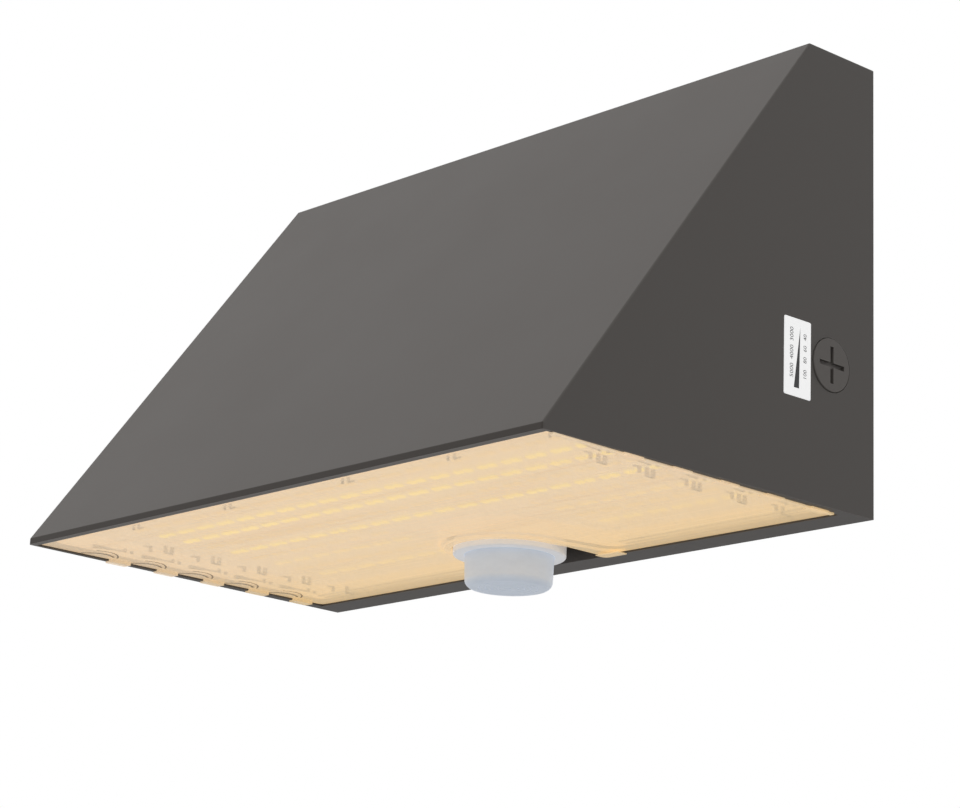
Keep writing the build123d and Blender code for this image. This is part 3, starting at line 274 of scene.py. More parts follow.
def fill_variation(tree, given):
    """A colour made lighter and darker by a tone."""
    centred_tone = math_node(tree, "SUBTRACT", given["Tone"], 0.5)
    scaled = math_node(tree, "MULTIPLY", centred_tone, given["Amount"])
    factor = math_node(tree, "MULTIPLY_ADD", scaled, 4.0, 1.0)
    inputs = {0: given["Color"], "Scale": factor}
    return {"Color": add_node(tree, "VectorMath", inputs, operation="SCALE").outputs[0]}


def fill_edge_wear_and_highlight(tree, given):
    """A broken mask along the sharp edges, for paler edges: partly rubbed paint, partly a painted
    highlight.
    """
    rounded = add_node(tree, "Bevel", {"Radius": given["Radius"]}, samples=4).outputs[0]
    flat = add_node(tree, "NewGeometry").outputs["True Normal"]
    agree = vector_math(tree, "DOT_PRODUCT", rounded, flat).outputs["Value"]
    edge = math_node(tree, "SUBTRACT", 1.0, agree)
    breakup = noise(tree, object_place(tree), given["Breakup Scale"], 3.0)
    broken = math_node(tree, "MULTIPLY", edge, breakup)
    strong = math_node(tree, "MULTIPLY", broken, 12.0)
    mask = math_node(tree, "MULTIPLY", strong, given["Amount"])
    return {"Mask": add_node(tree, "Clamp", {"Value": mask}).outputs[0]}


def fill_cells(tree, given):
    """Voronoi cells: a level for each cell, and a mask that is one away from the walls."""
    inputs = {"Vector": object_place(tree), "Scale": given["Scale"]}
    cell = add_node(tree, "TexVoronoi", inputs)
    wall = add_node(tree, "TexVoronoi", inputs, feature="DISTANCE_TO_EDGE")
    parts = add_node(tree, "SeparateColor", {"Color": cell.outputs["Color"]})
    gap = remap(tree, wall.outputs["Distance"], 0.0, given["Wall"])
    return {"Cell": parts.outputs["Red"], "Gap": gap}


def fill_scratches(tree, given):
    """Thin scratches in two directions."""
    place = object_place(tree)
    shrink = math_node(tree, "DIVIDE", 1.0, given["Length"])
    stretch = add_node(tree, "CombineXYZ", {"X": shrink, "Y": 1.0, "Z": 1.0}).outputs[0]
    sets = []
    for angle in (0.4, 1.9):
        inputs = {"Vector": place, "Angle": angle}
        turned = add_node(tree, "VectorRotate", inputs, rotation_type="AXIS_ANGLE").outputs[0]
        drawn = vector_math(tree, "MULTIPLY", turned, stretch).outputs[0]
        sets.append(remap(tree, noise(tree, drawn, given["Scale"], 5.0), 0.62, 0.7))
    mask = math_node(tree, "MULTIPLY", math_node(tree, "MAXIMUM", *sets), given["Amount"])
    return {"Mask": mask}


# Each shared group: its name, the function that fills it, and its inputs with their defaults.
GRAIN = ("Grain", fill_grain, {"Scale": 900.0, "Tone Scale": 30.0, "Stretch": (1.0, 1.0, 1.0)})
VARIATION = ("Colour Variation", fill_variation, {"Color": GREY, "Tone": 0.5, "Amount": 0.1})
# Paler sharp edges: partly rubbed paint, partly a painted highlight along the ridges.
EDGE_WEAR_AND_HIGHLIGHT = ("Edge Wear And Highlight", fill_edge_wear_and_highlight, {"Radius": 0.001, "Breakup Scale": 120.0, "Amount": 0.5})
CELLS = ("Cells", fill_cells, {"Scale": 300.0, "Wall": 0.1})
SCRATCHES = ("Scratches", fill_scratches, {"Scale": 60.0, "Length": 20.0, "Amount": 0.3})


def use_group(tree, group, **inputs):
    """A shared group, built the first time, placed in a material with its own values."""
    made = add_node(tree, "Group", node_tree=bpy.data.node_groups.get(group[0]) or build_group(*group))
    for key, value in inputs.items():
        link_or_set(tree, value, made.inputs[key.replace("_", " ").title()])
    return made.outputs


def vary_color(tree, color, tone, amount):
    """A colour with slow changes of tone."""
    return use_group(tree, VARIATION, color=rgba(color), tone=tone, amount=amount)["Color"]


# ---------------------------------------------------------------- finishes
def new_finish(name, color, roughness, metallic=0.0, specular=0.5, glow=None, glow_level=0.0):
    """A material with one Principled shader, its plain values set on the shader's own sockets."""
    material = bpy.data.materials.new(name)
    material.use_nodes = True
    tree = material.node_tree
    shader = tree.nodes["Principled BSDF"]
    shader.inputs["Base Color"].default_value = rgba(color)
    shader.inputs["Roughness"].default_value = roughness
    shader.inputs["Metallic"].default_value = metallic
    shader.inputs["Specular IOR Level"].default_value = specular
    if glow:
        shader.inputs["Emission Color"].default_value = rgba(glow)
        shader.inputs["Emission Strength"].default_value = glow_level
    return material, tree, shader


def set_bump(tree, shader, height, depth, strength):
    """A bump of some depth in metres."""
    bump = add_node(tree, "Bump", {"Height": height, "Distance": depth, "Strength": strength})
    tree.links.new(bump.outputs[0], shader.inputs["Normal"])


def vary_roughness(tree, shader, tone, low, high):
    """Roughness between two levels by a tone."""
    tree.links.new(remap(tree, tone, 0.0, 1.0, low, high), shader.inputs["Roughness"])


def set_color(tree, shader, color):
    """The shader's base colour linked to a mixed one."""
    tree.links.new(color, shader.inputs["Base Color"])


def powder_coat(name, color, roughness, texture, wear_and_highlight, **finish):
    """Painted casting: fine orange-peel texture, slight tone changes, paler edges that are partly rubbed
    paint and partly a painted highlight.
    """
    material, tree, shader = new_finish(name, color, roughness, **finish)
    grain = use_group(tree, GRAIN, scale=1.0 / (texture * MM), tone_scale=14.0)
    toned = vary_color(tree, color, grain["Tone"], 0.035)
    # Paler sharp edges: partly rubbed paint, partly a painted highlight along the ridges.
    worn_and_lit = use_group(tree, EDGE_WEAR_AND_HIGHLIGHT, radius=0.0009, breakup_scale=260.0, amount=wear_and_highlight)
    pale = rgba([min(1.0, 1.5 * c + 0.02) for c in color])
    set_color(tree, shader, mix_color(tree, worn_and_lit["Mask"], toned, pale))
    vary_roughness(tree, shader, grain["Tone"], roughness - 0.06, roughness + 0.06)
    set_bump(tree, shader, grain["Height"], 0.00004, 0.5)
    return material


def paint_front_lip_shade_and_light(material):
    """Painted shade on the casting's low front lip, and painted light on the rim under it, where the
    lens' glow falls.
    """
    tree = material.node_tree
    shader = tree.nodes["Principled BSDF"]
    painted = shader.inputs["Base Color"].links[0].from_socket
    axes = object_axes(tree)
    front = math_node(tree, "LESS_THAN", axes["Y"], (HOUSING_LOW.y + FRONT_RIM_WIDTH) * MM)
    low = math_node(tree, "LESS_THAN", axes["Z"], (HOUSING_LOW.z + LIP_HEIGHT) * MM)
    under = math_node(tree, "LESS_THAN", axes["Z"], (HOUSING_LOW.z + 0.1) * MM)
    face = math_node(tree, "LESS_THAN", axes["Y"], (HOUSING_LOW.y + 0.3) * MM)
    lip = math_node(tree, "MULTIPLY", face, low)
    rim = math_node(tree, "MULTIPLY", front, under)
    # Painted shade on the lip's face, then painted light on the rim under it.
    dark = mix_color(tree, lip, painted, rgba(LIP_PAINTED_SHADE))
    set_color(tree, shader, mix_color(tree, rim, dark, rgba(RIM_PAINTED_LIGHT)))


def plated_steel(name, color, roughness, spangle=160.0, scratch=0.35):
    """Zinc-plated sheet: crystal spangle, handling scratches and a soft sheen."""
    material, tree, shader = new_finish(name, color, roughness, metallic=0.85)
    cells = use_group(tree, CELLS, scale=spangle, wall=0.05)
    scratches = use_group(tree, SCRATCHES, scale=90.0, length=14.0, amount=scratch)
    toned = vary_color(tree, color, cells["Cell"], 0.04)
    bright = rgba([min(1.0, 1.25 * c) for c in color])
    set_color(tree, shader, mix_color(tree, scratches["Mask"], toned, bright))
    vary_roughness(tree, shader, cells["Cell"], roughness - 0.02, roughness + 0.03)
    set_bump(tree, shader, scratches["Mask"], 0.00002, 0.4)
    return material


def moulded(name, color, roughness, texture=0.35, variation=0.03, **finish):
    """Moulded plastic or rubber: fine tool texture and slow tone changes."""
    material, tree, shader = new_finish(name, color, roughness, **finish)
    grain = use_group(tree, GRAIN, scale=1.0 / (texture * MM), tone_scale=45.0)
    set_color(tree, shader, vary_color(tree, color, grain["Tone"], variation))
    vary_roughness(tree, shader, grain["Tone"], roughness - 0.05, roughness + 0.05)
    set_bump(tree, shader, grain["Height"], 0.00003, 0.4)
    return material


def foam(name, color, **finish):
    """Closed-cell foam: small pores and a matt face."""
    material, tree, shader = new_finish(name, color, 0.9, specular=0.2, **finish)
    cells = use_group(tree, CELLS, scale=1400.0, wall=0.25)
    set_color(tree, shader, vary_color(tree, color, cells["Cell"], 0.2))
    set_bump(tree, shader, cells["Gap"], 0.0002, 0.8)
    return material


def solder_mask(name, color, copper, **finish):
    """Circuit board: glossy mask with faint copper areas under it."""
    material, tree, shader = new_finish(name, color, 0.35, **finish)
    inputs = {
        "Vector": object_place(tree),
        "Scale": 90.0,
        "Mortar Size": 0.03,
        "Brick Width": 1.35,
        "Row Height": 0.35,
    }
    lanes = add_node(tree, "TexBrick", inputs).outputs["Fac"]
    grain = use_group(tree, GRAIN, scale=2500.0, tone_scale=60.0)
    toned = vary_color(tree, color, grain["Tone"], 0.02)
    set_color(tree, shader, mix_color(tree, lanes, toned, rgba(copper)))
    vary_roughness(tree, shader, grain["Tone"], 0.3, 0.42)
    set_bump(tree, shader, lanes, 0.00004, 0.5)
    return material


def turned_metal(name, color, roughness=0.35):
    """Bright screw or contact metal with fine turning marks and small scratches."""
    material, tree, shader = new_finish(name, color, roughness, metallic=1.0)
    grain = use_group(tree, GRAIN, scale=3000.0, tone_scale=250.0, stretch=(1, 1, 0.2))
    scratches = use_group(tree, SCRATCHES, scale=400.0, length=10.0, amount=0.3)
    toned = vary_color(tree, color, grain["Tone"], 0.06)
    dull = rgba([0.7 * c for c in color])
    set_color(tree, shader, mix_color(tree, scratches["Mask"], toned, dull))
    vary_roughness(tree, shader, grain["Tone"], roughness - 0.1, roughness + 0.12)
    set_bump(tree, shader, grain["Height"], 0.00001, 0.5)
    return material


def lens_plastic(name, color, opacity, streak, **finish):
    """Translucent diffuser plastic: streaks along its length, warmer at the rear, denser walls."""
    material, tree, shader = new_finish(name, color, 0.3, **finish)
    fine = use_group(tree, GRAIN, scale=700.0, tone_scale=260.0, stretch=(0.03, 1, 1))
    slow = use_group(tree, GRAIN, scale=300.0, tone_scale=26.0, stretch=(0.25, 1, 1))
    line = remap(tree, fine["Tone"], 0.52, 0.7)
    toned = vary_color(tree, color, slow["Tone"], 0.03)
    deep = rgba((color[0] * 0.86, color[1] * 0.7, color[2] * 0.5))
    streaked = mix_color(tree, math_node(tree, "MULTIPLY", line, streak), toned, deep)
    axes = object_axes(tree)
    rear = remap(tree, axes["Y"], TINT_START_Y * MM, TINT_END_Y * MM)
    warm = rgba([c * t for c, t in zip(color, REAR_TINT)])
    set_color(tree, shader, mix_color(tree, rear, streaked, warm))
    glow = shader.inputs["Emission Color"].default_value[:3]
    warm_glow = rgba([c * t for c, t in zip(glow, REAR_TINT)])
    tree.links.new(mix_color(tree, rear, rgba(glow), warm_glow), shader.inputs["Emission Color"])
    plate = remap(tree, line, 0.0, 1.0, opacity, min(1.0, opacity + 0.12))
    skirt = remap(tree, axes["Z"], (LENS_INNER_Z + 0.1) * MM, (LENS_INNER_Z + 0.4) * MM)
    wall = math_node(tree, "MULTIPLY", skirt, SKIRT_OPACITY)
    tree.links.new(math_node(tree, "MAXIMUM", plate, wall), shader.inputs["Alpha"])
    vary_roughness(tree, shader, slow["Tone"], 0.22, 0.4)
    set_bump(tree, shader, fine["Height"], 0.00003, 0.4)
    return material


def frosted(name, color, opacity, roughness=0.35, **finish):
    """Pale frosted sensor plastic, a little see-through, with faint flow marks."""
    material, tree, shader = new_finish(name, color, roughness, **finish)
    grain = use_group(tree, GRAIN, scale=1500.0, tone_scale=70.0, stretch=(1, 1, 2.5))
    set_color(tree, shader, vary_color(tree, color, grain["Tone"], 0.035))
    thick = remap(tree, grain["Tone"], 0.0, 1.0, opacity - 0.03, min(1.0, opacity + 0.03))
    tree.links.new(thick, shader.inputs["Alpha"])
    vary_roughness(tree, shader, grain["Tone"], roughness - 0.08, roughness + 0.08)
    set_bump(tree, shader, grain["Height"], 0.00002, 0.3)
    return material


def dress(material, *names):
    """The material on CAD nodes, in place of their plain colour."""
    for name in names:
        for slot in frame["nodes"][name].material_slots:
            slot.material = material


# ---------------------------------------------------------------- mesh helpers
def new_object(name, data):
    """An object in the scene."""
    made = bpy.data.objects.new(name, data)
    bpy.context.scene.collection.objects.link(made)
    return made


def finished_piece(name, build, material, body="housing"):
    """A piece made by a function, with its finish, riding on a body. It replaces its last make."""
    for old in [o for o in bpy.data.objects if o.name == name]:
        bpy.data.objects.remove(old)
    mesh = mesh_from(name, build)
    piece = new_object(name, mesh)
    mesh.materials.append(material)
    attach(piece, body)
    return piece


def mesh_from(name, build):
    """A mesh made by a function that fills a bmesh in millimetres."""
    work = bmesh.new()
    build(work)
    bmesh.ops.scale(work, vec=(MM, MM, MM), verts=work.verts)
    bmesh.ops.recalc_face_normals(work, faces=work.faces)
    mesh = bpy.data.meshes.new(name)
    work.to_mesh(mesh)
    work.free()
    return mesh


def join_rings(work, first, second):
    """Faces between two rings with the same number of points."""
    for i in range(len(first)):
        j = (i + 1) % len(first)
        work.faces.new((first[i], first[j], second[j], second[i]))


def add_solid(work, rings):
    """A closed solid through rings with the same number of points."""
    made = [[work.verts.new(point) for point in ring] for ring in rings]
    for first, second in zip(made, made[1:]):
        join_rings(work, first, second)
    work.faces.new(made[-1])
    work.faces.new(list(reversed(made[0])))


def add_plate(work, outline, low, high):
    """A flat plate with a plan outline, between two levels."""
    add_solid(work, [[(x, y, z) for x, y in outline] for z in (low, high)])


def add_strip(work, points, widths, low, rises):
    """A rib along plan points that stands on the level low, narrower at its top."""
    rings = []
    for i, point in enumerate(points):
        here = Vector(point)
        before, after = Vector(points[max(i - 1, 0)]), Vector(points[min(i + 1, len(points) - 1)])
        along = (after - before).normalized()
        foot = Vector((-along.y, along.x)) * widths[i] / 2
        top = foot * RIB_DRAFT
        corners = ((here - foot, 0.0), (here + foot, 0.0), (here + top, rises[i]), (here - top, rises[i]))
        rings.append([(spot.x, spot.y, low + rise) for spot, rise in corners])
    add_solid(work, rings)


def add_rib(work, start, end, width, low, rise_start, rise_end):
    """A straight drafted rib between two plan points."""
    add_strip(work, [start, end], [width, width], low, [rise_start, rise_end])


def add_post(work, x, y, width, depth, low, rise):
    """A small drafted post on the level low."""
    add_rib(work, (x, y - depth / 2), (x, y + depth / 2), width, low, rise, rise)


def bowed(start, middle, end, steps=10):
    """Plan points of a smooth curve from start to end that passes through middle."""
    a, m, b = Vector(start), Vector(middle), Vector(end)
    pull = m * 2 - (a + b) / 2
    return [
        tuple(a * (1 - t) ** 2 + pull * (2 * t * (1 - t)) + b * t**2)
        for t in [i / steps for i in range(steps + 1)]
    ]


def arc(centre, radius, start, end, steps=12):
    """Plan points of an arc, its angles in degrees."""
    angles = [math.radians(start + (end - start) * i / steps) for i in range(steps + 1)]
    return [(centre[0] + radius * math.cos(a), centre[1] + radius * math.sin(a)) for a in angles]


def rounded_outline(x, y, width, depth, radius, steps=3):
    """Plan points of a rounded rectangle."""
    points = []
    for side_x, side_y, start in ((1, 1, 0), (-1, 1, 90), (-1, -1, 180), (1, -1, 270)):
        centre = (x + side_x * (width / 2 - radius), y + side_y * (depth / 2 - radius))
        points += arc(centre, radius, start, start + 90, steps)
    return points


def add_turned(work, profile, centre, steps):
    """A solid of revolution about an upright axis, from (radius, z) points on its outside."""
    angles = [2 * math.pi * i / steps for i in range(steps)]
    rings = []
    for radius, z in profile:
        spots = [
            (centre[0] + radius * math.cos(a), centre[1] + radius * math.sin(a), z)
            for a in (angles if radius else angles[:1])
        ]
        rings.append([work.verts.new(spot) for spot in spots])
    for first, second in zip(rings, rings[1:]):
        if len(first) == len(second) == 1:
            continue
        for i in range(steps):
            j = (i + 1) % steps
            order = ((first, i), (first, j), (second, j), (second, i))
            corners = [ring[k % len(ring)] for ring, k in order]
            work.faces.new(list(dict.fromkeys(corners)))


def mirrored(points):
    """The same plan points on the other side of the middle plane, in reverse order."""
    return [(-x, y) for x, y in reversed(points)]


# ---------------------------------------------------------------- shapes of the lens details
def notch_outline():
    """Edge of the lens plate at the sensor notch, right half, from the rear edge to the front."""
    rear_y = LENS_HIGH.y
    flare = math.atan2(NOTCH_MOUTH_HALF - NOTCH_RADIUS, rear_y - SENSOR_Y)
    tangent = NOTCH_MOUTH_ROUND / math.tan((math.pi / 2 + flare) / 2)
    centre = (NOTCH_MOUTH_HALF + tangent, rear_y - NOTCH_MOUTH_ROUND)
    corner = arc(centre, NOTCH_MOUTH_ROUND, 90, 180 - math.degrees(flare), 8)
    return corner + arc((SENSOR_X, SENSOR_Y), NOTCH_RADIUS, 0, -90, 20)


def add_notch_apron(work):
    """Plate that brings the notch's edge in to the sensor's flange."""
    gap = 0.05
    outer = [(x - gap, y + gap / 2) for x, y in notch_outline()]
    close = SENSOR_HIGH.x + 0.9
    straight_x = 29.5
    straight_y = -42.0
    inner = arc((SENSOR_X, SENSOR_Y), close, -90, 0, 20)
    inner += [(straight_x, straight_y), (straight_x, LENS_HIGH.y - 3.0)]
    inner += arc((straight_x + 3.0, LENS_HIGH.y - 3.0), 3.0, 180, 90, 6)
    outline = outer[:-1] + mirrored(outer) + mirrored(inner)[:-1] + inner
    add_plate(work, outline, LENS_FACE_Z, LENS_FACE_Z + 1.4)


def add_notch_ears(work):
    """Thin ears at the notch's rear corners that lie on the housing's sill."""
    inner_x = 31.0
    outer_x = 45.3
    front_y = LENS_HIGH.y - 5.0
    rear_y = LENS_HIGH.y + 1.8
    top = HOUSING_LOW.z - 0.05
    right = [(outer_x, front_y), (outer_x, rear_y - 0.8)]
    right += arc((outer_x - 0.8, rear_y - 0.8), 0.8, 0, 90, 4)
    right += arc((inner_x + 3.0, rear_y - 3.0), 3.0, 90, 180, 8)
    right += [(inner_x, front_y)]
    for outline in (right, mirrored(right)):
        add_plate(work, outline, top - 0.4, top)


def add_edge_bead(work):
    """Thin bead of the lens along the right rim, below the snap tabs."""
    inner_x = LENS_HALF_WIDTH - 0.4
    outer_x = LENS_HALF_WIDTH + 1.8
    low_y = LENS_LOW.y + 2.0
    high_y = LENS_HIGH.y - 4.5
    outline = [(inner_x, low_y), (outer_x, low_y), (outer_x, high_y), (inner_x, high_y)]
    add_plate(work, outline, LENS_LOW.z - 0.05, HOUSING_LOW.z - 0.05)


def add_clip_hooks(work):
    """Upright hooks, stops and rails on the lens' inner face, a set for each snap tab."""
    low = LENS_INNER_Z
    for side in (-1, 1):
        hook, stop = side * HOOK_X, side * STOP_X
        for y in TAB_YS:
            for x, ahead, width, depth, rise in CLIP_POSTS:
                add_post(work, side * x, y + ahead, width, depth, low, rise)
            add_rib(work, (hook, y + 1.5), (hook + side * 0.4, y - 2.6), 1.1, low + 1.9, 0.9, 0.5)
            add_rib(work, (stop, y + 9.4), (stop, y + 12.1), 0.9, low, 0.8, 0.8)
            rail = bowed((side * 165.2, y - 21.5), (side * 162.3, y - 13.0), (side * 161.4, y - 5.0))
            thinning = [min(1.0, i / 6) for i in range(len(rail))]
            add_strip(work, rail, [2.2 - 1.5 * t for t in thinning], low, [1.6 - t for t in thinning])


def add_edge_scallops(work):
    """Shallow bowed lines on the lens' face at the left edge, between the snap tabs."""
    low = LENS_FACE_Z - SCALLOP_DROP
    for y in [tab - TAB_PITCH / 2 for tab in TAB_YS]:
        outer = bowed((-172.2, y - 8.5), (-165.4, y - 0.5), (-168.0, y + 8.0))
        inner = bowed((-161.5, y - 7.0), (-160.4, y + 3.0), (-168.2, y + 10.4))
        for line, width in ((outer, 1.3), (inner, 0.9)):
            add_strip(work, line, [width] * len(line), low, [SCALLOP_RISE] * len(line))


def add_front_clips(work):
    """Small locating hooks on the lens' inner face along its front edge."""
    low = LENS_INNER_Z
    y = FRONT_CLIP_Y
    for x in FRONT_CLIP_XS:
        for post_x, post_y in ((x - 2.6, y + 0.6), (x + 2.4, y - 0.4)):
            add_post(work, post_x, post_y, 0.9, 1.2, low, 2.6)
        add_rib(work, (x - 2.6, y + 0.6), (x + 0.6, y - 2.2), 0.8, low, 1.4, 0.6)
        add_rib(work, (x + 0.2, y + 1.4), (x + 5.4, y + 0.4), 0.8, low, 1.0, 0.5)


def add_rear_ribs(work):
    """Two low ribs along the lens' rear edge on its inner face, each side of the notch."""
    for inset, width in REAR_RIBS:
        y = LENS_HIGH.y - inset
        for side in (-1, 1):
            start, end = (side * (NOTCH_MOUTH_HALF + 12.0), y), (side * (LENS_HALF_WIDTH - 7.0), y)
            add_rib(work, start, end, width, LENS_INNER_Z, 0.5, 0.5)


def centred(count):
    """Places of a number of chip pairs about the middle of their row."""
    return [(i - (count - 1) / 2) * PAIR_PITCH for i in range(count)]


def chip_rows():
    """The rows beside the sensor and the rows in front: each a place and its pairs' places."""
    split_y = box_mm("led_board_left")[0].y
    rear_middle = (box_mm("led_board_right")[0].x + BOARD_HIGH.x) / 2
    rear_xs = [side * rear_middle + spot for side in (-1, 1) for spot in centred(REAR_PAIRS)]
    front_xs = centred(FRONT_PAIRS)
    rear = [(split_y + (i + 0.5) * ROW_PITCH, rear_xs) for i in range(REAR_ROWS)]
    front = [(split_y - (i + 0.5) * ROW_PITCH, front_xs) for i in range(FRONT_ROWS)]
    return rear, front


def add_windows(work, rows):
    """Soft phosphor domes over the chips in some rows."""
    length, width = CHIP_LENGTH + DOME_MARGIN, CHIP_WIDTH + DOME_MARGIN
    for y, pair_xs in rows:
        for x in [pair_x + side * PAIR_SPREAD / 2 for pair_x in pair_xs for side in (-1, 1)]:
            outline = rounded_outline(x, y, length, width, DOME_ROUND)
            add_plate(work, outline, CHIPS_LOW.z - DOME_RISE, CHIPS_LOW.z + DOME_SINK)


def add_sensor_cap(work):
    """Moulded sensor cap: a slight taper, a soft bottom edge and shallow rings in its face."""
    top, low, radius = COVER_HIGH.z, COVER_LOW.z, COVER_HIGH.x
    wall = 1.6
    soft = 3.6
    inner_soft = 2.0
    edge = radius - 0.5
    floor = low + wall + 0.4
    mouth = (radius - wall, top)
    outside = [mouth, (radius, top), (radius, SENSOR_LOW.z), (radius - 0.15, SENSOR_LOW.z - 0.4)]
    outside += arc((edge - soft, low + soft), soft, 0, -90, 8)
    for ring in (14.0, 11.0, 8.0, 5.0):
        outside += [(ring + 0.5, low), (ring, low + 0.35), (ring - 0.5, low)]
    outside += [(1.6, low), (1.2, low + 0.3), (0.0, low + 0.3)]
    inside = [(0.0, floor)]
    inside += arc((edge - wall - inner_soft, floor + inner_soft), inner_soft, -90, 0, 8)
    add_turned(work, outside + inside + [mouth], (SENSOR_X, SENSOR_Y), 96)


def label_frame():
    """The label's lower front corner and three directions: along the reading line, up, and out."""
    rise = Vector((0, 0, 1))
    slant = (LABEL_HIGH.x - LABEL_LOW.x - LABEL_THICKNESS) / (LABEL_HIGH.y - LABEL_LOW.y)
    across = Vector((slant, 1, 0)).normalized()
    corner = Vector((LABEL_LOW.x + LABEL_THICKNESS, LABEL_LOW.y, LABEL_LOW.z))
    return corner, rise, -across, across.cross(rise)


def add_label_numbers(work, height):
    """The label's printed numbers, read from the bottom up: colour steps, then power steps."""
    corner, along, up, out = label_frame()
    turn = Matrix((along, up, out)).transposed().to_4x4()
    for groups, across, share in ((COLOUR_STEPS, 5.9, 1.0), (POWER_STEPS, 14.6, 0.92)):
        for digits, place in groups:
            letters = bpy.data.curves.new("number", "FONT")
            letters.body = digits
            letters.size = height * share * FONT_SIZE_PER_HEIGHT
            letters.align_x = "CENTER"
            letters.resolution_u = 3
            holder = bpy.data.objects.new("number", letters)
            mesh = bpy.data.meshes.new_from_object(holder)
            origin = corner + along * place - up * across + out * INK_LIFT
            mesh.transform(Matrix.Translation(origin) @ turn)
            work.from_mesh(mesh)
            bpy.data.objects.remove(holder)
            bpy.data.curves.remove(letters)
            bpy.data.meshes.remove(mesh)


def add_label_wedge(work):
    """The printed wedge between the label's two columns, widest at its low end."""
    corner, along, up, out = label_frame()
    points = [corner + along * z - up * y for z, y in ((4.0, 6.4), (4.0, 9.8), (31.5, 10.4))]
    add_solid(work, [[point + out * lift for point in points] for lift in (0.004, INK_LIFT)])


def add_winding(work):
    """Transformer winding: layers of wire around the core's middle leg."""
    low, high = box_mm("transformer_winding")
    x, y = (low.x + high.x) / 2, (low.y + high.y) / 2
    size = high.x - low.x
    corner = 4.0
    bore = 7.4
    turns = 16
    groove = 0.35
    step = (high.z - low.z) / turns
    insets = ((0.0, groove), (0.25, 0.08), (0.5, 0.0), (0.75, 0.08), (1.0, groove))
    sections = [(level, size - 2 * inset, corner - inset) for level, inset in insets]
    sections += [(1.0, bore, 0.5), (0.0, bore, 0.5)]
    for i in range(turns):
        rings = []
        for level, width, radius in sections:
            outline = rounded_outline(x, y, width, width, radius, 5)
            rings.append([work.verts.new((px, py, low.z + (i + level) * step)) for px, py in outline])
        for first, second in zip(rings, rings[1:] + rings[:1]):
            join_rings(work, first, second)


def add_inner_lead(name, points, color):
    """A lead inside the housing, from one piece to another, on a smooth line.

    A point's radius widens the curve's bound box, so it is small and the bevel makes up for it.
    """
    curve = bpy.data.curves.new(name, "CURVE")
    curve.dimensions = "3D"
    spline = curve.splines.new("NURBS")
    spline.points.add(len(points) - 1)
    for place, point in zip(spline.points, points):
        place.co = (point[0] * MM, point[1] * MM, point[2] * MM, 1.0)
        place.radius = MM
    spline.order_u = 3
    spline.use_endpoint_u = True
    curve.bevel_depth = LEAD_RADIUS
    curve.bevel_resolution = 4
    curve.use_fill_caps = True
    curve.materials.append(moulded(name + " sheath", color, 0.4))
    return new_object(name, curve)


def line_length(curve_object):
    """Length of a curve's middle line, in metres."""
    bevel = curve_object.data.bevel_depth
    curve_object.data.bevel_depth = 0.0
    line = bpy.data.meshes.new_from_object(curve_object)
    curve_object.data.bevel_depth = bevel
    spots = [vertex.co for vertex in line.vertices]
    length = sum((spots[edge.vertices[0]] - spots[edge.vertices[1]]).length for edge in line.edges)
    bpy.data.meshes.remove(line)
    return length


# ---------------------------------------------------------------- settings
def colour_setting(name, description, default):
    """A colour among the settings."""
    return FloatVectorProperty(
        name=name, description=description, default=default, min=0.0, max=1.0, subtype="COLOR"
    )


def level_setting(name, description, default, low=0.0, high=1.0):
    """A plain number among the settings."""
    return FloatProperty(name=name, description=description, default=default, min=low, max=high)


class HousingSettings(bpy.types.PropertyGroup):
    coat_color: colour_setting(
        "Coat Colour", "Colour of the powder coat on the casting and the plug", (0.094, 0.0855, 0.079)
    )
    coat_roughness: level_setting("Coat Roughness", "How matt the coat is", 0.5, 0.1, 0.9)
    texture_size: level_setting(
        "Texture Size (mm)", "Size of the coat's orange-peel texture, in millimetres", 0.7, 0.1, 3.0
    )
    # Paler sharp edges: partly rubbed paint, partly a painted highlight.
    edge_wear_and_highlight: level_setting("Edge Wear And Highlight", "How much the edges are rubbed pale", 0.35)


class LensSettings(bpy.types.PropertyGroup):
    tint: colour_setting("Lens Tint", "Colour of the diffuser plastic", (0.84, 0.73, 0.52))
    opacity: level_setting("Opacity", "How much each face of the lens hides", 0.56, 0.05, 1.0)
    streaks: level_setting("Streaks", "Strength of the drawn streaks", 0.8)
    glow_color: colour_setting(
        "Glow Colour", "Colour of the light spread in the lens", (1.0, 0.77, 0.55)
    )
    glow: level_setting("Glow", "How strongly the lens itself shines", 0.34, 0.0, 5.0)
    clip_color: colour_setting(
        "Clip Colour", "Colour of the thick plastic of the clips and ribs", (0.05, 0.025, 0.01)
    )
    clip_opacity: level_setting("Clip Opacity", "How much each face of a clip hides", 0.4, 0.05, 1.0)


class LightSettings(bpy.types.PropertyGroup):
    board_color: colour_setting("Board Colour", "Colour of the white solder mask", (0.86, 0.84, 0.78))
    warm_color: colour_setting("Warm Chip Colour", "Colour of the warm chips' bodies", (0.86, 0.8, 0.66))
    cool_color: colour_setting(
        "Cool Chip Colour", "Colour of the cool chips' bodies", (0.86, 0.84, 0.76)
    )
    board_glow_color: colour_setting(
        "Board Glow Colour", "Colour of the light spread over the boards", (1.0, 0.86, 0.66)
    )
    board_glow: level_setting("Board Glow", "How strongly the boards shine", 0.13, 0.0, 5.0)
    window_color: colour_setting(
        "Window Colour", "Colour of the chips' phosphor windows", (0.9, 0.68, 0.06)
    )
    window_glow_color: colour_setting(
        "Window Glow Colour", "Colour of the light from the chips' windows", (0.9, 0.78, 0.0)
    )
    glow: level_setting("Window Glow", "How strongly the lit rows shine", 0.8, 0.0, 5.0)


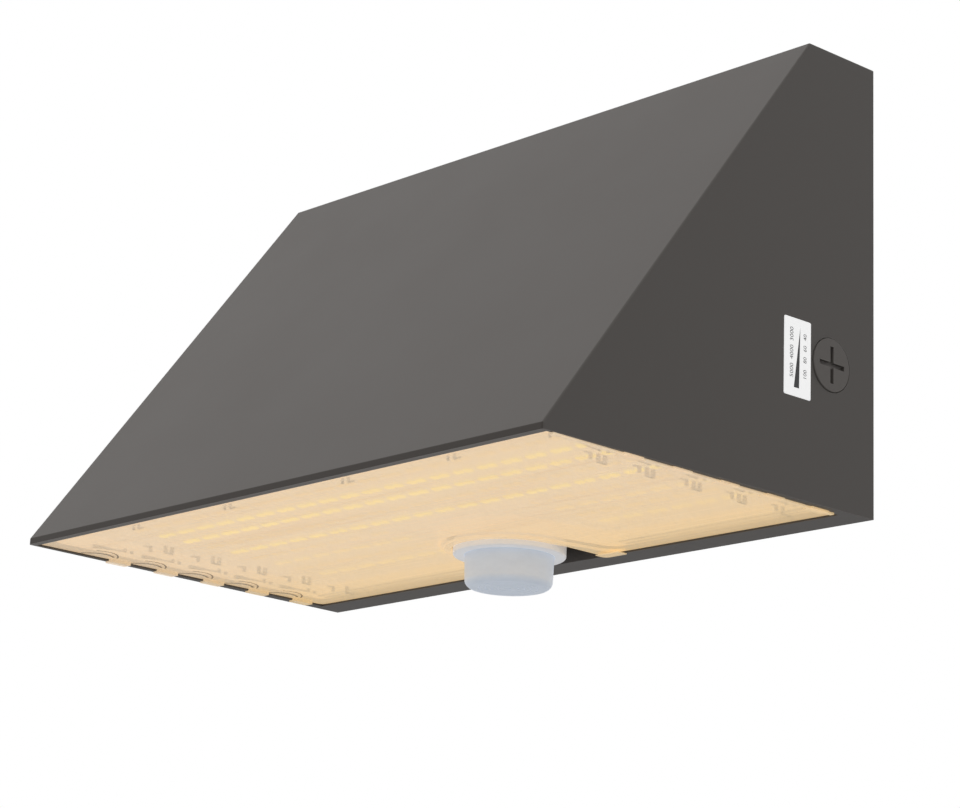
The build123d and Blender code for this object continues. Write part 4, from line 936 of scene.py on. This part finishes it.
class SensorSettings(bpy.types.PropertyGroup):
    cap_color: colour_setting("Cap Colour", "Colour of the sensor's frosted cap", (0.8, 0.86, 0.92))
    glow_color: colour_setting(
        "Glow Colour", "Colour of the daylight spread in the cap", (0.74, 0.82, 1.0)
    )
    glow: level_setting("Glow", "How strongly the cap shines by itself", 0.14, 0.0, 4.0)
    rim_glow: level_setting("Rim Glow", "How strongly the flange shines by itself", 0.18, 0.0, 4.0)
    flange_color: colour_setting("Flange Colour", "Colour of the sensor's flange", (0.88, 0.87, 0.88))
    opacity: level_setting("Opacity", "How much each face of the cap hides", 0.88, 0.1, 1.0)


class SelectorSettings(bpy.types.PropertyGroup):
    film_color: colour_setting("Label Colour", "Colour of the label's film", (0.93, 0.93, 0.93))
    ink_color: colour_setting(
        "Ink Colour", "Colour of the label's numbers and marks", (0.02, 0.02, 0.022)
    )
    film_glow: level_setting("Film Glow", "How much the label's film shines by itself", 0.35)
    number_height: FloatProperty(
        name="Number Height",
        description="Height of the label's numbers",
        default=2.6 * MM,
        min=1.0 * MM,
        max=6.0 * MM,
        unit="LENGTH",
    )


class StageSettings(bpy.types.PropertyGroup):
    floor_drop: FloatProperty(
        name="Floor Drop",
        description="How far the floor lies below the middle of the wall box",
        default=0.62,
        min=0.3,
        max=3.0,
        unit="LENGTH",
    )
    floor_seen: colour_setting(
        "Floor Seen Colour", "Colour of the studio floor as the camera sees it", (0.72, 0.72, 0.72)
    )
    floor_color: colour_setting("Floor Colour", "Colour of the studio floor", (0.5, 0.5, 0.5))
    room_level: level_setting("Room Level", "Level of the even light from all round", 0.65, 0.0, 2.0)
    key_power: level_setting("Key Power (W)", "Power of the soft lamp in front", 13.5, 0.0, 500.0)


# ---------------------------------------------------------------- operators
def coat_settings(settings, shade=1.0):
    """The powder coat's settings, lighter or darker by a shade."""
    return {
        "color": [shade * c for c in settings.coat_color],
        "roughness": settings.coat_roughness,
        "texture": settings.texture_size,
        "wear_and_highlight": settings.edge_wear_and_highlight,
        "specular": 0.25,
    }


class WALLPACK_OT_housing(bpy.types.Operator):
    """Coat the casting and finish its lock screw and nut"""

    bl_idname = "wallpack.housing"
    bl_label = "Housing"

    def execute(self, context):
        coat = powder_coat("bronze powder coat", **coat_settings(context.scene.wallpack_housing))
        # Painted shade on the front lip and painted light on the rim under it.
        paint_front_lip_shade_and_light(coat)
        dress(coat, "housing")
        dress(turned_metal("zinc screw", (0.5, 0.5, 0.51)), "lock_screw")
        dress(plated_steel("zinc nut", (0.55, 0.55, 0.57), 0.4, spangle=700.0), "lock_nut")
        return {"FINISHED"}


class WALLPACK_OT_lens(bpy.types.Operator):
    """Finish the lens and its gasket and add the small details moulded on the lens"""

    bl_idname = "wallpack.lens"
    bl_label = "Lens"

    def execute(self, context):
        s = context.scene.wallpack_lens
        shine = {"glow": s.glow_color, "glow_level": s.glow}
        plastic = lens_plastic("diffuser plastic", s.tint, s.opacity, s.streaks, specular=0.3, **shine)
        dress(plastic, "lens")
        dress(foam("white sponge seal", (0.74, 0.7, 0.62), **shine), "lens_gasket")
        thick = lens_plastic("thick clip plastic", s.clip_color, s.clip_opacity, 0.1, specular=0.3)
        for name, build, material in (
            ("lens_notch_apron", add_notch_apron, plastic),
            ("lens_notch_ears", add_notch_ears, plastic),
            ("lens_edge_bead", add_edge_bead, plastic),
            ("lens_clip_hooks", add_clip_hooks, thick),
            ("lens_edge_scallops", add_edge_scallops, thick),
            ("lens_front_clips", add_front_clips, thick),
            ("lens_rear_ribs", add_rear_ribs, thick),
        ):
            finished_piece(name, build, material)
        return {"FINISHED"}


class WALLPACK_OT_lights(bpy.types.Operator):
    """Finish the light boards, their chips, screws, connectors and tray"""

    bl_idname = "wallpack.lights"
    bl_label = "Light Boards"

    def execute(self, context):
        s = context.scene.wallpack_lights
        shine = {"glow": s.board_glow_color, "glow_level": s.board_glow}
        board = solder_mask("white solder mask", s.board_color, (0.8, 0.77, 0.68), **shine)
        dress(board, "led_board_front", "led_board_left", "led_board_right")
        dress(moulded("warm chip body", s.warm_color, 0.4, texture=0.3, **shine), "leds_warm")
        dress(moulded("cool chip body", s.cool_color, 0.4, texture=0.3, **shine), "leds_cool")
        rear, front = chip_rows()
        lit = [front[0], front[2], front[3]]
        faint = [rear[1], rear[3]]
        idle = [rear[0], rear[2], front[1], front[4], front[5]]
        for name, rows, level in (
            ("chip_windows_lit", lit, 1.0),
            ("chip_windows_faint", faint, 0.5),
            ("chip_windows_idle", idle, 0.15),
        ):
            pairs = zip(s.board_glow_color, s.window_glow_color)
            light = {
                "glow": [weak + level * (strong - weak) for weak, strong in pairs],
                "glow_level": s.board_glow + level * (s.glow - s.board_glow),
            }
            phosphor = moulded(name.replace("_", " "), s.window_color, 0.35, texture=0.2, **light)
            finished_piece(name, partial(add_windows, rows=rows), phosphor)
        dress(moulded("white connector", (0.86, 0.8, 0.68), 0.4, **shine), "board_connectors")
        dress(moulded("white screw coat", (0.84, 0.8, 0.72), 0.4, **shine), "board_screws", "tray_screws")
        dress(powder_coat("white tray paint", (0.86, 0.84, 0.78), 0.4, 0.5, 0.2, **shine), "led_tray")
        return {"FINISHED"}


class WALLPACK_OT_sensor(bpy.types.Operator):
    """Finish the light sensor, its socket and what is inside them"""

    bl_idname = "wallpack.sensor"
    bl_label = "Light Sensor"

    def execute(self, context):
        s = context.scene.wallpack_sensor
        shine = {"specular": 0.35, "glow": s.glow_color, "glow_level": s.glow}
        plastic = frosted("frosted cap plastic", s.cap_color, s.opacity, **shine)
        cap = finished_piece("sensor_cap", add_sensor_cap, plastic, body="sensor_head")
        cap.data.shade_smooth()
        cap.data.set_sharp_from_angle(angle=math.radians(35))
        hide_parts("sensor_cover")
        shine = {"specular": 0.35, "glow": WHITE, "glow_level": s.rim_glow}
        dress(frosted("flange plastic", s.flange_color, 0.97, 0.4, **shine), "sensor_base")
        socket = moulded("black socket plastic", (0.012, 0.012, 0.011), 0.6, specular=0.15)
        dress(socket, "sensor_socket", "socket_ring")
        dress(foam("black sponge ring", (0.03, 0.03, 0.03)), "sensor_gasket")
        dress(solder_mask("green solder mask", (0.05, 0.22, 0.1), (0.09, 0.3, 0.14)), "sensor_board")
        dress(moulded("amber light cell", (0.7, 0.35, 0.1), 0.3), "photocell")
        dress(turned_metal("brass contact", (0.8, 0.62, 0.32), 0.3), "sensor_contacts")
        return {"FINISHED"}


class WALLPACK_OT_selector(bpy.types.Operator):
    """Finish the side plug, its seal, the sliders and the label, and print the label's numbers"""

    bl_idname = "wallpack.selector"
    bl_label = "Selector"

    def execute(self, context):
        s = context.scene.wallpack_selector
        coat = powder_coat("plug coat", **coat_settings(context.scene.wallpack_housing, PLUG_SHADE))
        dress(coat, "side_plug")
        dress(moulded("black rubber", (0.02, 0.02, 0.02), 0.7), "plug_seal")
        dress(moulded("slider plastic", (0.85, 0.85, 0.82), 0.4), "colour_slider", "power_slider")
        dress(moulded("switch plastic", (0.04, 0.04, 0.04), 0.45), "selector_switches")
        shine = {"glow": WHITE, "glow_level": s.film_glow}
        film = moulded("label film", s.film_color, 0.35, texture=0.8, variation=0.01, **shine)
        dress(film, "selector_label")
        ink = moulded("label ink", s.ink_color, 0.45, texture=0.2, variation=0.02)
        numbers = partial(add_label_numbers, height=s.number_height / MM)
        finished_piece("label_numbers", numbers, ink)
        finished_piece("label_wedge", add_label_wedge, ink)
        return {"FINISHED"}


class WALLPACK_OT_driver(bpy.types.Operator):
    """Finish the driver, its bracket and the inner leads"""

    bl_idname = "wallpack.driver"
    bl_label = "Driver"

    def execute(self, context):
        dress(moulded("driver case plastic", (0.82, 0.82, 0.8), 0.45), "driver_case", "driver_cover")
        dress(plated_steel("bracket steel", (0.62, 0.63, 0.64), 0.38), "driver_bracket")
        dress(turned_metal("driver screw", (0.6, 0.6, 0.61)), "bracket_screws", "driver_screws")
        dress(solder_mask("driver board mask", (0.05, 0.24, 0.11), (0.1, 0.32, 0.15)), "driver_board")
        wire = turned_metal("enamelled copper wire", (0.62, 0.28, 0.12), 0.35)
        winding = finished_piece("winding_turns", add_winding, wire)
        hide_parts("transformer_winding")
        dress(moulded("ferrite", (0.1, 0.1, 0.105), 0.55, variation=0.1), "transformer_core")
        dress(moulded("capacitor sleeve", (0.03, 0.04, 0.08), 0.35), "driver_capacitors")
        self.add_leads()
        return {"FINISHED"}

    def add_leads(self):
        """Replace the plain leads: two from the driver to the boards, two from it to the socket."""
        red, black = (0.5, 0.03, 0.02), (0.02, 0.02, 0.02)
        blue, white = (0.02, 0.05, 0.3), (0.8, 0.8, 0.78)
        for node, run, pair in (
            ("led_leads", 1, (("board_lead_red", red), ("board_lead_black", black))),
            ("sensor_leads", 0, (("sensor_lead_blue", blue), ("sensor_lead_white", white))),
        ):
            low, high = box_mm(node)
            level = high.z - LEAD_RADIUS
            bend = low[run] + LEAD_RADIUS
            far = high[run]
            spots = ((far, level), (bend, level), (bend, level - (far - bend)), (bend, low.z))
            sides = (low[1 - run] + LEAD_RADIUS, high[1 - run] - LEAD_RADIUS)
            for (name, color), side in zip(pair, sides):
                points = [(side, along, z) if run else (along, side, z) for along, z in spots]
                lead = add_inner_lead(name, points, color)
                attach(lead, "housing")
                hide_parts(node)
                line_length(lead)


class WALLPACK_OT_mount(bpy.types.Operator):
    """Finish the wall plate, its gasket, grommet, terminals and screws"""

    bl_idname = "wallpack.mount"
    bl_label = "Wall Mount"

    def execute(self, context):
        dress(plated_steel("wall plate zinc", (0.6, 0.61, 0.62), 0.42), "wall_plate")
        dress(foam("black wall foam", (0.03, 0.03, 0.03)), "wall_gasket")
        dress(moulded("grommet rubber", (0.02, 0.02, 0.02), 0.65), "wire_grommet")
        dress(moulded("terminal plastic", (0.8, 0.79, 0.74), 0.4), "terminal_block")
        dress(turned_metal("brass screw", (0.78, 0.62, 0.32)), "terminal_screws")
        dress(turned_metal("green earth screw", (0.2, 0.42, 0.22)), "earth_screw")
        return {"FINISHED"}


class WALLPACK_OT_stage(bpy.types.Operator):
    """Add the camera, the soft lamp, the even room light and the floor"""

    bl_idname = "wallpack.stage"
    bl_label = "Studio Stage"

    def execute(self, context):
        scene = context.scene
        scene.view_settings.view_transform = "Standard"
        self.add_camera(scene)
        self.add_room(scene)
        self.add_lamp(scene)
        self.add_floor(scene)
        return {"FINISHED"}

    def add_camera(self, scene):
        """The photo's camera."""
        view = bpy.data.cameras.new("camera")
        view.lens = CAMERA_LENS
        view.sensor_width = 36.0
        camera = new_object("camera", view)
        right = CAMERA_RIGHT.normalized()
        back = right.cross(CAMERA_UP).normalized()
        turn = Matrix((right, back.cross(right), back)).transposed()
        camera.matrix_world = Matrix.Translation(CAMERA_PLACE) @ turn.to_4x4()
        scene.camera = camera

    def add_room(self, scene):
        """Even light from all round. What the camera sees of it is plain white."""
        world = bpy.data.worlds.new("studio room")
        scene.world = world
        world.use_nodes = True
        tree = world.node_tree
        tree.nodes.clear()
        level = remap(tree, seen_by_eye(tree), 0.0, 1.0, scene.wallpack_stage.room_level, 1.0)
        glow = add_node(tree, "Background", {"Color": rgba(WHITE), "Strength": level})
        add_node(tree, "OutputWorld", {"Surface": glow.outputs[0]})

    def add_lamp(self, scene):
        """The soft lamp in front."""
        lamp = bpy.data.lights.new("key lamp", "AREA")
        lamp.shape = "DISK"
        lamp.size = LAMP_SIZE
        lamp.energy = scene.wallpack_stage.key_power
        holder = new_object("key lamp", lamp)
        holder.location = LAMP_PLACE
        holder.rotation_mode = "QUATERNION"
        holder.rotation_quaternion = (LAMP_AIM - LAMP_PLACE).to_track_quat("-Z", "Y")
        holder.visible_camera = False
        holder.visible_glossy = False

    def add_floor(self, scene):
        """A wide floor that can't be seen from below."""
        s = scene.wallpack_stage

        def fill(work):
            bmesh.ops.create_grid(work, x_segments=24, y_segments=24, size=FLOOR_HALF)

        mesh = mesh_from("studio floor", fill)
        floor = new_object("studio_floor", mesh)
        floor.location = (0, 0, -s.floor_drop)
        material, tree, shader = new_finish("studio floor", s.floor_color, 0.7)
        grain = use_group(tree, GRAIN, scale=200.0, tone_scale=1.2)
        toned = vary_color(tree, s.floor_color, grain["Tone"], 0.01)
        set_color(tree, shader, mix_color(tree, seen_by_eye(tree), toned, rgba(s.floor_seen)))
        below = add_node(tree, "NewGeometry").outputs["Backfacing"]
        clear = add_node(tree, "BsdfTransparent").outputs[0]
        seen = add_node(tree, "MixShader", {0: below, 1: shader.outputs[0], 2: clear})
        tree.links.new(seen.outputs[0], tree.nodes["Material Output"].inputs["Surface"])
        mesh.materials.append(material)


class WALLPACK_PT_pieces(bpy.types.Panel):
    """The wall light's pieces, each with its settings and its button"""

    bl_idname = "WALLPACK_PT_pieces"
    bl_label = "Wall Light"
    bl_space_type = "VIEW_3D"
    bl_region_type = "UI"
    bl_category = "Wall Light"

    def draw(self, context):
        for operator, name, settings in STEPS:
            box = self.layout.box()
            box.operator(operator.bl_idname)
            for key in settings.__annotations__ if settings else ():
                box.prop(getattr(context.scene, name), key)


# The operators in their order, each with the name and the class of its settings.
STEPS = (
    (WALLPACK_OT_housing, "wallpack_housing", HousingSettings),
    (WALLPACK_OT_lens, "wallpack_lens", LensSettings),
    (WALLPACK_OT_lights, "wallpack_lights", LightSettings),
    (WALLPACK_OT_sensor, "wallpack_sensor", SensorSettings),
    (WALLPACK_OT_selector, "wallpack_selector", SelectorSettings),
    (WALLPACK_OT_driver, "", None),
    (WALLPACK_OT_mount, "", None),
    (WALLPACK_OT_stage, "wallpack_stage", StageSettings),
)


def register():
    for operator, name, settings in STEPS:
        if settings:
            bpy.utils.register_class(settings)
            setattr(bpy.types.Scene, name, PointerProperty(type=settings))
        bpy.utils.register_class(operator)
    bpy.utils.register_class(WALLPACK_PT_pieces)


def unregister():
    bpy.utils.unregister_class(WALLPACK_PT_pieces)
    for operator, name, settings in reversed(STEPS):
        bpy.utils.unregister_class(operator)
        if settings:
            delattr(bpy.types.Scene, name)
            bpy.utils.unregister_class(settings)


def main():
    register()
    for operator, *_ in STEPS:
        family, action = operator.bl_idname.split(".")
        getattr(getattr(bpy.ops, family), action)()


if __name__ == "__main__":
    main()
